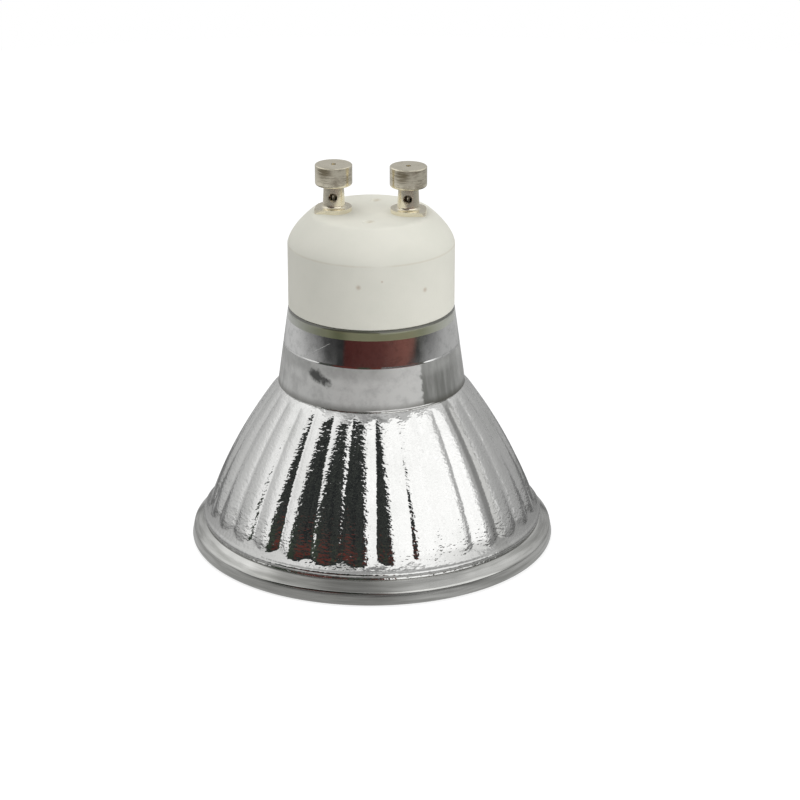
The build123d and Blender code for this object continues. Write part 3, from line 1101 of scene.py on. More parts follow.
class ShapeBench(NodeBench):
    """A new Geometry Nodes tree with a named input for each of its values."""

    def __init__(self, name: str, values: dict[str, float | bpy.types.Material]) -> None:
        """Make the tree, its sockets and the node of its inputs.

        Args:
            name: the tree's name.
            values: what each input is set to, by the input's name.
        """
        super().__init__(bpy.data.node_groups.new(name, "GeometryNodeTree"))
        sockets = self.tree.interface
        for side in ("INPUT", "OUTPUT"):
            sockets.new_socket(name="Geometry", in_out=side, socket_type="NodeSocketGeometry")
        self.values = {}
        for label, value in values.items():
            kind = "NodeSocketFloat" if isinstance(value, float) else "NodeSocketMaterial"
            socket = sockets.new_socket(name=label, in_out="INPUT", socket_type=kind)
            self.values[socket.identifier] = value
        self.given = self.add("NodeGroupInput").outputs

    def attribute(self, name: str, kind: str = "FLOAT") -> Socket:
        """Read one of the piece's own attributes in the tree."""
        node = self.add("GeometryNodeInputNamedAttribute", {"Name": name}, data_type=kind)
        return next(output for output in node.outputs if output.enabled and output.name == "Attribute")

    def end(self, shape: Socket, finish: str, chosen: object = True) -> None:
        """Realize the shape, dress it and hand it out.

        Args:
            shape: the geometry's output socket.
            finish: name of the input that holds the material.
            chosen: which faces get the material.
        """
        real = self.add("GeometryNodeRealizeInstances", {0: shape}).outputs[0]
        inputs = {"Geometry": real, "Selection": chosen, "Material": self.given[finish]}
        dressed = self.add("GeometryNodeSetMaterial", inputs).outputs[0]
        self.add("NodeGroupOutput", {0: dressed})

    def apply(self, piece: bpy.types.Object) -> None:
        """Run the tree on a piece, with its inputs set by identifier, and leave a plain mesh.

        Args:
            piece: the piece that changes.
        """
        modifier = piece.modifiers.new(self.tree.name, "NODES")
        modifier.node_group = self.tree
        for identifier, value in self.values.items():
            modifier[identifier] = value
        settle(piece)


class ReflectorZone(IntEnum):
    """Stretches of the reflector's surface, in the order of its material slots."""

    BEAD = 0
    BELL = 1
    NECK_SATIN = 2
    NECK_MIRROR = 3
    CLEAR_EDGE = 4
    BARE = 5
    BOWL = 6


@dataclass
class FluteTree:
    """Node tree that presses the flutes into the bell and the facets into the bowl."""

    flute_count: int = 30
    flute_turn_deg: float = -4.75
    flute_depth_share: float = 0.0165
    valley_roundness: float = 0.6
    wander_deg: float = 0.9
    wander: Grain = Grain(1000.0, 1.0)
    head_height: float = 22.5 * MM
    head_fade: float = 1.2 * MM
    head_level: float = 0.7
    facet_depth: float = 0.12 * MM
    facet_row_height: float = 2.6 * MM
    facet_row_share: float = 0.5
    facet_level: float = 0.5

    def apply(self, piece: bpy.types.Object, bell: bpy.types.Material) -> None:
        """Press the flutes into a turned piece and leave it a plain mesh.

        Args:
            piece: the turned reflector, with its bell, bowl and floor attributes.
            bell: the finish of the fluted bell.
        """
        bench = ShapeBench("press_flutes", {
            "Flute Count": float(self.flute_count),
            "Flute Turn": math.radians(self.flute_turn_deg),
            "Flute Wander": math.radians(self.wander_deg),
            "Flute Depth Share": self.flute_depth_share,
            "Valley Roundness": self.valley_roundness,
            "Facet Depth": self.facet_depth,
            "Bell Finish": bell,
        })
        given = bench.given
        position = bench.add("GeometryNodeInputPosition").outputs[0]
        axes = bench.add("ShaderNodeSeparateXYZ", {0: position}).outputs
        flat = bench.add("ShaderNodeCombineXYZ", {"X": axes["X"], "Y": axes["Y"]}).outputs[0]
        radius = bench.vector("LENGTH", flat)["Value"]
        valley = self.valley(bench, position, axes)
        head = bench.fall(axes["Z"], self.head_height - self.head_fade, self.head_height)
        share = bench.plus(bench.times(valley, head), bench.times(bench.minus(1.0, head), self.head_level))
        depth = bench.times(radius, given["Flute Depth Share"])
        pressed = bench.times(share, bench.attribute("bell"), depth)
        room = bench.math("MAXIMUM", bench.minus(radius, bench.attribute("floor")), 0.0)
        pressed = bench.math("MINIMUM", pressed, room)
        row = bench.math("SINE", bench.times(axes["Z"], math.tau / self.facet_row_height))
        facet = bench.times(
            bench.plus(bench.times(row, self.facet_row_share), valley),
            self.facet_level,
            given["Facet Depth"],
            bench.attribute("bowl"),
        )
        outward = bench.vector("NORMALIZE", flat)[0]
        offset = bench.vector("SCALE", outward, Scale=bench.times(bench.plus(pressed, facet), -1.0))[0]
        moved = bench.add("GeometryNodeSetPosition", {"Geometry": given["Geometry"], "Offset": offset})
        bench.end(moved.outputs[0], "Bell Finish", bench.attribute("bell_face", "BOOLEAN"))
        bench.apply(piece)

    def valley(self, bench: ShapeBench, position: Socket, axes: bpy.types.NodeOutputs) -> Socket:
        """How deep in its flute a point lies, from 0 on the crest to 1 in the valley.

        Args:
            bench: the tree's nodes.
            position: the point's output socket.
            axes: the point's X, Y and Z.

        Returns:
            The depth's output socket.
        """
        given = bench.given
        turn = bench.minus(bench.math("ARCTAN2", axes["Y"], axes["X"]), given["Flute Turn"])
        turn = bench.plus(turn, bench.sway(bench.noise(position, self.wander), given["Flute Wander"]))
        count = bench.times(turn, bench.over(given["Flute Count"], math.tau))
        place = bench.apart(count, bench.math("ROUND", count))
        # The place is 0 on a crest and a half in a valley, so four times its square ends at 1.
        own, beside = (bench.times(side, side, 4.0) for side in (place, bench.minus(1.0, place)))
        return bench.math("SMOOTH_MIN", own, beside, given["Valley Roundness"])


@dataclass
class Reflector:
    """Pressed glass reflector: rim bead, fluted bell, banded neck and mirrored bowl."""

    rim_radius: float = 25.0
    rim_edge_round: float = 0.6
    bead_side_height: float = 1.28
    bead_side_draft: float = 0.25
    bead_bevel_width: float = 1.4
    bead_bevel_height: float = 1.17
    bead_edge_round: float = 0.45
    foot_ridge_radius: float = 0.42
    foot_ridge_reach: float = 0.07
    foot_ridge_rise: float = 0.6
    foot_ridge_from_deg: float = -78.0
    foot_ridge_to_deg: float = 75.0
    cove_foot_inset: float = 0.15
    cove_foot_rise: float = 0.9
    cove_hollow_width: float = 0.6
    cove_hollow_rise: float = 0.65
    cove_width: float = 1.35
    cove_rise: float = 1.6
    bell_height: float = 19.5
    bell_foot_step: float = 0.2
    bell_bulge: float = 1.03
    bell_top_radius: float = 12.9
    shoulder_height: float = 1.05
    shoulder_brow: float = 0.25
    neck_height: float = 11.0
    neck_foot_step: float = 0.12
    neck_groove: float = 0.12
    neck_top_radius: float = 11.25
    neck_edge_round: float = 0.3
    satin_top: float = 28.4
    clear_edge_foot: float = 32.15
    rim_wall: float = 2.3
    lens_recess_depth: float = 2.2
    lens_ledge: float = 1.3
    neck_floor_rise: float = 2.4
    septum_thickness: float = 2.8
    neck_wall: float = 1.95
    capsule_opening_radius: float = 6.3
    segments: int = 540
    face_rows: int = 2
    rim_rows: int = 6
    bead_rows: int = 8
    ridge_rows: int = 10
    cove_rows: int = 14
    bell_rows: int = 70
    shoulder_rows: int = 8
    satin_rows: int = 6
    mirror_rows: int = 4
    clear_rows: int = 3
    neck_edge_rows: int = 4
    bore_rows: int = 2
    bowl_rows: int = 20
    crease_deg: float = 40.0

    def finishes(self) -> list[Finish]:
        """The finish of each zone, in the zones' order."""
        bare = ClearGlassEdge()
        return [BeadMirror(), RippledMirror(), NeckSatin(), NeckMirror(), bare, bare, InnerMirror()]

    def bead_edge(self) -> tuple[float, float]:
        """Corner between the bead's side and its bevel."""
        return (self.rim_radius - self.bead_side_draft, self.rim_edge_round + self.bead_side_height)

    def bell_foot(self) -> tuple[float, float]:
        """Corner where the bead's bevel meets the bell."""
        radius, height = self.bead_edge()
        return (radius - self.bead_bevel_width, height + self.bead_bevel_height)

    def cove(self, height: float) -> float:
        """Radius of the cove round the bell's foot, or 0 above it.

        Args:
            height: height above the rim's plane.

        Returns:
            The radius under which no flute is pressed.
        """
        radius, foot = self.bell_foot()
        climb = height - foot - self.cove_foot_rise
        if climb > self.cove_rise:
            return 0.0
        bow = self.cove_rise - 2 * self.cove_hollow_rise
        share = (math.sqrt(self.cove_hollow_rise**2 + bow * max(climb, 0.0)) - self.cove_hollow_rise) / bow
        inset = 2 * share * (1 - share) * self.cove_hollow_width + share**2 * self.cove_width
        return radius - self.cove_foot_inset - inset

    def section(self) -> SectionLine:
        """Walk the closed half section from the rim, up the outside and down the inside.

        Returns:
            The section with each stretch's zone.
        """
        zone = ReflectorZone
        bead_top, foot = self.bell_foot()
        head = foot + self.bell_height
        neck_top = head + self.neck_height
        floor = head + self.neck_floor_rise
        opening = floor - self.septum_thickness
        bell_foot = bead_top - self.bell_foot_step
        bell_taper = self.bell_top_radius - bell_foot
        neck_foot = self.bell_top_radius - self.neck_foot_step
        recess = self.rim_radius - self.rim_wall
        mouth = recess - self.lens_ledge
        bore = self.neck_top_radius - self.neck_wall
        latus = (mouth**2 - self.capsule_opening_radius**2) / (opening - self.lens_recess_depth)

        def bell(height: float) -> float:
            """Radius over the flutes' crests."""
            share = (height - foot) / self.bell_height
            return bell_foot + share * bell_taper + 4 * self.bell_bulge * share * (1 - share)

        def coved_bell(height: float) -> float:
            """Radius over the crests, with the cove round their foot."""
            return max(bell(height), self.cove(height))

        def neck(height: float) -> float:
            """Radius of the neck."""
            share = (height - head) / self.neck_height
            return neck_foot + share * (self.neck_top_radius - neck_foot)

        def bowl(height: float) -> float:
            """Radius of the mirror."""
            return math.sqrt(self.capsule_opening_radius**2 + latus * (opening - height))

        line = SectionLine()
        line.start(recess, 0)
        rim_edge = self.rim_radius - self.rim_edge_round
        line.line(rim_edge, 0, zone.BEAD, self.face_rows)
        line.arc((rim_edge, self.rim_edge_round), self.rim_edge_round, -90, 0, zone.BEAD, self.rim_rows)
        line.rounded(self.bead_edge(), (bead_top, foot), self.bead_edge_round, zone.BEAD, self.bead_rows)
        line.line(bell_foot, foot, zone.BEAD)
        ridge = (bead_top + self.foot_ridge_reach - self.foot_ridge_radius, foot + self.foot_ridge_rise)
        line.arc(ridge, self.foot_ridge_radius, self.foot_ridge_from_deg, self.foot_ridge_to_deg, zone.BELL,
                 self.ridge_rows, lead_in=True)
        line.follow(coved_bell, foot + self.cove_foot_rise + self.cove_rise, zone.BELL, self.cove_rows)
        line.follow(bell, head - self.shoulder_height, zone.BELL, self.bell_rows)
        brow = head - self.shoulder_brow
        groove = (neck_foot - self.neck_groove, head)
        line.curve((bell(brow), brow), groove, zone.BELL, self.shoulder_rows)
        line.follow(neck, head + self.neck_groove, zone.NECK_SATIN, 1)
        line.follow(neck, self.satin_top, zone.NECK_SATIN, self.satin_rows)
        line.follow(neck, self.clear_edge_foot, zone.NECK_MIRROR, self.mirror_rows)
        edge = (self.neck_top_radius - self.neck_edge_round, neck_top - self.neck_edge_round)
        line.follow(neck, edge[1], zone.CLEAR_EDGE, self.clear_rows)
        line.arc(edge, self.neck_edge_round, 0, 90, zone.CLEAR_EDGE, self.neck_edge_rows)
        line.line(bore, neck_top, zone.CLEAR_EDGE)
        line.line(bore, floor, zone.BARE, self.bore_rows)
        line.line(self.capsule_opening_radius, floor, zone.BARE)
        line.line(self.capsule_opening_radius, opening, zone.BARE)
        line.follow(bowl, self.lens_recess_depth, zone.BOWL, self.bowl_rows)
        line.line(recess, self.lens_recess_depth, zone.BARE)
        line.close(zone.BARE)
        return line

    def note(self, mesh: bpy.types.Mesh, name: str, rows: list[float]) -> None:
        """Keep one number for each row of the section on the turned mesh's points."""
        attribute = mesh.attributes.new(name, "FLOAT", "POINT")
        attribute.data.foreach_set("value", [row for row in rows for _ in range(self.segments)])

    def build(self) -> bpy.types.Object:
        """Make the reflector and stand it in for its solid.

        Returns:
            The finished piece.
        """
        line = self.section()
        mesh = line.turned("pressed_reflector", self.segments)
        before = [line.zones[-1]] + line.zones[:-1]
        for name, zone in (("bell", ReflectorZone.BELL), ("bowl", ReflectorZone.BOWL)):
            self.note(mesh, name, [float(below == above == zone) for below, above in zip(before, line.zones)])
        ridge_top = self.bell_foot()[1] + self.foot_ridge_rise + self.foot_ridge_radius
        self.note(mesh, "floor", [
            (radius if height < ridge_top else self.cove(height)) * MM for radius, height in line.points
        ])
        faces = mesh.attributes.new("bell_face", "BOOLEAN", "FACE")
        on_bell = [face.material_index == ReflectorZone.BELL for face in mesh.polygons]
        faces.data.foreach_set("value", on_bell)
        close_up(mesh)
        finishes = self.finishes()
        for finish in finishes:
            mesh.materials.append(finish.material())
        piece = shown("pressed_reflector", mesh)
        FluteTree().apply(piece, finishes[ReflectorZone.BELL].material())
        smooth(piece.data, self.crease_deg)
        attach(piece, BODY)
        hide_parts("reflector")
        return piece


class PinSide(Enum):
    """The side a pin stands on, as the sign of its X."""

    LEFT = -1
    RIGHT = 1


@dataclass
class CeramicCap:
    """Ceramic base: bevelled cap over a hollow spigot, with two small dimples in its top."""

    foot_height: float = 33.55
    radius: float = 11.25
    wall_height: float = 8.8
    wall_edge: float = 0.25
    shoulder_height: float = 4.25
    shoulder_width: float = 3.25
    shoulder_lean: float = 0.42
    shoulder_fullness: float = 1.85
    shoulder_walked: float = 0.931
    top_round_reach: float = 0.527
    foot_chamfer: float = 0.12
    top_thickness: float = 2.6
    spigot_length: float = 6.0
    spigot_radius: float = 8.7
    cavity_radius: float = 6.9
    pin_offset: float = 5.0
    pin_hole_radius: float = 1.35
    dimple_radius: float = 1.2
    dimple_depth: float = 0.2
    dimple_offset: float = 5.0
    dimple_ring_radius: float = 3.6
    level_within: float = 0.001
    segments: int = 360
    wall_rows: int = 4
    shoulder_rows: int = 24
    top_round_rows: int = 6
    dimple_rows: int = 42
    middle_rows: int = 6
    inner_rows: int = 2
    crease_deg: float = 30.0

    def top_height(self) -> float:
        """Height of the flat top."""
        return self.foot_height + self.wall_height + self.shoulder_height

    def section(self) -> SectionLine:
        """Walk the half section from the foot, up the outside and down the inside.

        Returns:
            The section, open along the axis.
        """
        edge = self.foot_height + self.wall_height
        top = self.top_height()
        corner = (self.radius - self.shoulder_width, top)
        bend = (self.radius - self.shoulder_lean, edge + self.shoulder_fullness)
        ceiling = top - self.top_thickness
        spigot_foot = self.foot_height - self.spigot_length
        line = SectionLine()
        line.start(self.radius - self.foot_chamfer, self.foot_height)
        line.line(self.radius, self.foot_height + self.foot_chamfer)
        line.line(self.radius, edge - self.wall_edge, steps=self.wall_rows)
        line.line(self.radius, edge)
        line.curve(bend, corner, 0, self.shoulder_rows, self.shoulder_walked)
        line.curve(corner, (corner[0] - self.top_round_reach, top), 0, self.top_round_rows)
        line.line(self.dimple_ring_radius, top, steps=self.dimple_rows)
        line.line(0, top, steps=self.middle_rows)
        line.jump(0, ceiling)
        line.line(self.cavity_radius, ceiling, steps=self.inner_rows)
        line.line(self.cavity_radius, spigot_foot, steps=self.inner_rows)
        line.line(self.spigot_radius, spigot_foot)
        line.line(self.spigot_radius, self.foot_height, steps=self.inner_rows)
        line.close()
        return line

    def press_dimples(self, mesh: bpy.types.Mesh) -> None:
        """Press a ball's print into the top before and behind the pins.

        Args:
            mesh: the turned cap, with no pin holes yet.
        """
        top = self.top_height() * MM
        ball = self.dimple_radius * MM
        seat = (self.dimple_radius - self.dimple_depth) * MM
        reach = math.sqrt(ball**2 - seat**2)
        for corner in mesh.vertices:
            place = corner.co
            gap = math.hypot(place.x, abs(place.y) - self.dimple_offset * MM)
            if gap < reach and abs(place.z - top) < self.level_within * MM:
                place.z -= math.sqrt(ball**2 - gap**2) - seat

    def build(self) -> bpy.types.Object:
        """Make the cap and stand it in for its solid.

        Returns:
            The finished piece.
        """
        mesh = self.section().turned("ceramic_cap", self.segments)
        close_up(mesh)
        self.press_dimples(mesh)
        mesh.materials.append(FiredCeramic().material())
        piece = shown("ceramic_cap", mesh)
        middle = (self.top_height() - self.top_thickness / 2) * MM
        for side in PinSide:
            place = Matrix.Translation((side.value * self.pin_offset * MM, 0, middle))
            Carving.CUT.apply(piece, rod(self.pin_hole_radius * MM, 2 * self.top_thickness * MM, place))
        smooth(piece.data, self.crease_deg)
        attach(piece, BODY)
        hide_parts("ceramic_base")
        return piece


@dataclass
class ContactPin:
    """Turned contact pin: head, stem with a crimp hole, tabbed flange and riveted shank."""

    side: PinSide
    base_top: float = 46.6
    offset: float = 5.0
    head_radius: float = 2.5
    head_height: float = 2.8
    head_bevel: float = 0.1
    head_underside_round: float = 0.35
    head_dimple_radius: float = 0.35
    head_dimple_depth: float = 0.4
    stem_top_radius: float = 1.35
    stem_foot_radius: float = 1.5
    stem_height: float = 3.0
    stem_foot_round: float = 0.35
    flange_radius: float = 2.4
    flange_thickness: float = 0.55
    tab_start: float = 0.9
    tab_reach: float = 2.45
    tab_width: float = 4.4
    tab_round: float = 0.4
    shank_radius: float = 1.3
    shank_length: float = 2.6
    rivet_radius: float = 1.8
    rivet_thickness: float = 0.4
    bore_radius: float = 0.5
    crimp_radius: float = 0.6
    segments: int = 128
    stem_rows: int = 12
    head_rows: int = 6
    top_rows: int = 4
    tab_steps: int = 6
    crease_deg: float = 30.0

    def section(self) -> SectionLine:
        """Walk the half section from the rivet, up the outside and down the bore.

        Returns:
            The section, with heights from the base's top, open along the axis.
        """
        rivet_foot = -self.shank_length - self.rivet_thickness
        head_foot = self.flange_thickness + self.stem_height
        top = head_foot + self.head_height
        line = SectionLine()
        line.start(self.bore_radius, rivet_foot)
        line.line(self.rivet_radius, rivet_foot)
        line.line(self.rivet_radius, -self.shank_length)
        line.line(self.shank_radius, -self.shank_length)
        line.line(self.shank_radius, 0)
        line.line(self.flange_radius, 0)
        line.line(self.flange_radius, self.flange_thickness)
        line.rounded((self.stem_foot_radius, self.flange_thickness), (self.stem_top_radius, head_foot),
                     self.stem_foot_round, 0, self.stem_rows)
        line.rounded((self.head_radius, head_foot), (self.head_radius, top - self.head_bevel),
                     self.head_underside_round, 0, self.head_rows)
        line.line(self.head_radius - self.head_bevel, top)
        line.line(self.head_dimple_radius, top, steps=self.top_rows)
        line.line(self.head_dimple_radius, top - self.head_dimple_depth)
        line.line(0, top - self.head_dimple_depth)
        line.jump(0, head_foot)
        line.line(self.bore_radius, head_foot)
        line.close()
        return line

    def tab(self) -> bpy.types.Mesh:
        """Plate with a rounded corner on the outer front of the flange.

        Returns:
            A closed mesh in metres about the pin's axis.
        """
        front = self.tab_width / 2
        outline = [(self.tab_start, -front)]
        for step in range(self.tab_steps + 1):
            turn = math.radians(90 * step / self.tab_steps - 90)
            outline.append((self.tab_reach - self.tab_round + self.tab_round * math.cos(turn),
                            self.tab_round - front + self.tab_round * math.sin(turn)))
        outline += [(self.tab_reach, 0), (self.tab_start, 0)]
        count = len(outline)
        corners = [
            (across * self.side.value * MM, along * MM, height * MM)
            for height in (0, self.flange_thickness)
            for across, along in outline
        ]
        faces = [tuple(range(count)), tuple(range(count, 2 * count))]
        for step in range(count):
            beside = (step + 1) % count
            faces.append((step, beside, count + beside, count + step))
        mesh = bpy.data.meshes.new("tab")
        mesh.from_pydata(corners, [], faces)
        close_up(mesh)
        return mesh

    def build(self) -> bpy.types.Object:
        """Make the pin and stand it in for its solid.

        Returns:
            The finished piece.
        """
        name = self.side.name.lower()
        mesh = self.section().turned(f"{name}_pin", self.segments)
        close_up(mesh)
        mesh.materials.append(NickelPin().material())
        piece = shown(f"{name}_pin", mesh)
        Carving.JOIN.apply(piece, self.tab())
        crimp_height = self.flange_thickness + self.stem_height / 2
        crimp = Matrix.Translation((0, -self.stem_foot_radius / 2 * MM, crimp_height * MM))
        crimp = crimp @ Matrix.Rotation(math.pi / 2, 4, "X")
        Carving.CUT.apply(piece, rod(self.crimp_radius * MM, self.stem_foot_radius * MM, crimp))
        piece.data.transform(Matrix.Translation((self.side.value * self.offset * MM, 0, self.base_top * MM)))
        smooth(piece.data, self.crease_deg)
        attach(piece, BODY)
        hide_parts(f"contact_pin_{name}")
        return piece


@dataclass
class FilamentCoil:
    """Wound filament, hung in a U between the inner leads."""

    coil_radius: float = 0.35
    wire_radius: float = 0.075
    turn_pitch: float = 0.24
    bend_radius: float = 1.2
    bend_steps: int = 10
    turn_sides: int = 14
    wire_sides: int = 6

    def path(self) -> list[Vector]:
        """Middle line of the coil, from the frame's own filament.

        Returns:
            Points in metres from the left lead's end to the right lead's end.
        """
        low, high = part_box("filament")
        left = low.x + self.coil_radius * MM
        foot = low.z + self.coil_radius * MM
        bend = self.bend_radius * MM
        half = [Vector((left, 0, high.z))]
        for step in range(self.bend_steps + 1):
            turn = math.pi / 2 * step / self.bend_steps
            half.append(Vector((left + bend * (1 - math.cos(turn)), 0, foot + bend * (1 - math.sin(turn)))))
        return half + [Vector((-point.x, 0, point.z)) for point in reversed(half)]

    def wind(self, piece: bpy.types.Object) -> None:
        """Wind turns of wire along a piece that is only a path.

        Args:
            piece: the path, which becomes the wound coil.
        """
        bench = ShapeBench("wind_turns", {
            "Turn Pitch": self.turn_pitch * MM,
            "Turn Radius": (self.coil_radius - self.wire_radius) * MM,
            "Wire Radius": self.wire_radius * MM,
            "Wire Finish": CoilTungsten().material(),
        })
        given = bench.given
        curve = bench.add("GeometryNodeMeshToCurve", {0: given["Geometry"]}).outputs[0]
        spacing = {"Curve": curve, "Length": given["Turn Pitch"]}
        spots = bench.add("GeometryNodeCurveToPoints", spacing, mode="LENGTH").outputs
        circles = ((self.turn_sides, given["Turn Radius"]), (self.wire_sides, given["Wire Radius"]))
        ring, wire = (
            bench.add("GeometryNodeCurvePrimitiveCircle", {"Resolution": sides, "Radius": radius}).outputs[0]
            for sides, radius in circles
        )
        turn = bench.add("GeometryNodeCurveToMesh", {0: ring, 1: wire}).outputs[0]
        turn = bench.add("GeometryNodeSetShadeSmooth", {0: turn}).outputs[0]
        aim = bench.add("FunctionNodeAlignRotationToVector", {"Vector": spots["Tangent"]}, axis="Z")
        inputs = {"Points": spots["Points"], "Instance": turn, "Rotation": aim.outputs[0]}
        bench.end(bench.add("GeometryNodeInstanceOnPoints", inputs).outputs[0], "Wire Finish")
        bench.apply(piece)

    def build(self) -> bpy.types.Object:
        """Wind the filament and stand it in for its solid.

        Returns:
            The finished piece.
        """
        points = self.path()
        mesh = bpy.data.meshes.new("filament_coil")
        mesh.from_pydata(points, [(step, step + 1) for step in range(len(points) - 1)], [])
        piece = shown("filament_coil", mesh)
        self.wind(piece)
        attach(piece, BODY)
        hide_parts("filament")
        return piece


@dataclass
class SmoothedNode:
    """A node of the frame, copied with joined corners and smooth shading, and dressed."""

    node: str
    piece_name: str
    slot: str
    finish: Finish
    crease_deg: float = 30.0
    join_within: float = 0.0005

    def build(self, nodes: dict[str, bpy.types.Object]) -> bpy.types.Object:
        """Make the copy and stand it in for its node.

        Args:
            nodes: the frame's nodes by name.

        Returns:
            The finished piece.
        """
        mesh = bpy.data.meshes.new(self.piece_name)
        work = bmesh.new()
        work.from_mesh(nodes[self.node].data)
        bmesh.ops.remove_doubles(work, verts=work.verts, dist=self.join_within * MM)
        work.to_mesh(mesh)
        work.free()
        mesh.materials.clear()
        mesh.materials.append(self.finish.material())
        mesh.polygons.foreach_set("material_index", [0] * len(mesh.polygons))
        smooth(mesh, self.crease_deg)
        piece = shown(self.piece_name, mesh)
        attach(piece, BODY)
        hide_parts(self.node)
        return piece


class KeptNode(Enum):
    """Nodes of the frame that stay as they are, and the finish they get."""

    BASE_CEMENT = ("base_cement", GrainyCement())
    CAPSULE_CEMENT = ("capsule_cement", GrainyCement())
    FILAMENT_SUPPORT = ("filament_support", DrawnWire())
    INNER_LEAD_LEFT = ("inner_lead_left", DrawnWire())
    INNER_LEAD_RIGHT = ("inner_lead_right", DrawnWire())
    FOIL_LEFT = ("sealing_foil_left", DrawnWire())
    FOIL_RIGHT = ("sealing_foil_right", DrawnWire())
    OUTER_LEAD_LEFT = ("outer_lead_left", DrawnWire())
    OUTER_LEAD_RIGHT = ("outer_lead_right", DrawnWire())
    FUSE_SLEEVE = ("fuse_sleeve", WovenSleeve())

    def dress(self, nodes: dict[str, bpy.types.Object]) -> None:
        """Give the node its finish.

        Args:
            nodes: the frame's nodes by name.
        """
        name, finish = self.value
        slots = nodes[name].data.materials
        slots.clear()
        slots.append(finish.material())


@dataclass
class PhotoCamera:
    """Camera at the photograph's viewing angle, solved from the bulb's outline."""

    distance: float = 359.035
    elevation_deg: float = 19.906
    azimuth_deg: float = 5.486
    aim_height: float = 27.0
    yaw_deg: float = 0.614
    pitch_deg: float = -1.119
    roll_deg: float = 0.027
    focal_px: float = 2632.655
    image_px: float = 800.0
    sensor_mm: float = 36.0
    clip_start: float = 10.0

    def build(self) -> bpy.types.Object:
        """Make the scene's camera.

        Returns:
            The camera.
        """
        azimuth = math.radians(self.azimuth_deg)
        elevation = math.radians(self.elevation_deg)
        back = Vector((
            math.sin(azimuth) * math.cos(elevation),
            -math.cos(azimuth) * math.cos(elevation),
            math.sin(elevation),
        ))
        place = Vector((0, 0, self.aim_height * MM)) + back * self.distance * MM
        right = Vector((0, 0, 1)).cross(back).normalized()
        yaw = math.tan(math.radians(self.yaw_deg)) * right
        pitch = math.tan(math.radians(self.pitch_deg)) * back.cross(right)
        ahead = (-back + yaw + pitch).normalized()
        right = ahead.cross(Vector((0, 0, 1))).normalized()
        turn = Matrix((right, right.cross(ahead), -ahead)).transposed().to_4x4()
        data = bpy.data.cameras.new("photo_camera")
        data.sensor_width = self.sensor_mm
        data.lens = self.focal_px / self.image_px * self.sensor_mm
        data.clip_start = self.clip_start * MM
        camera = shown("photo_camera", data)
        roll = Matrix.Rotation(math.radians(self.roll_deg), 4, "Z")
        camera.matrix_world = Matrix.Translation(place) @ turn @ roll
        bpy.context.scene.camera = camera
        return camera


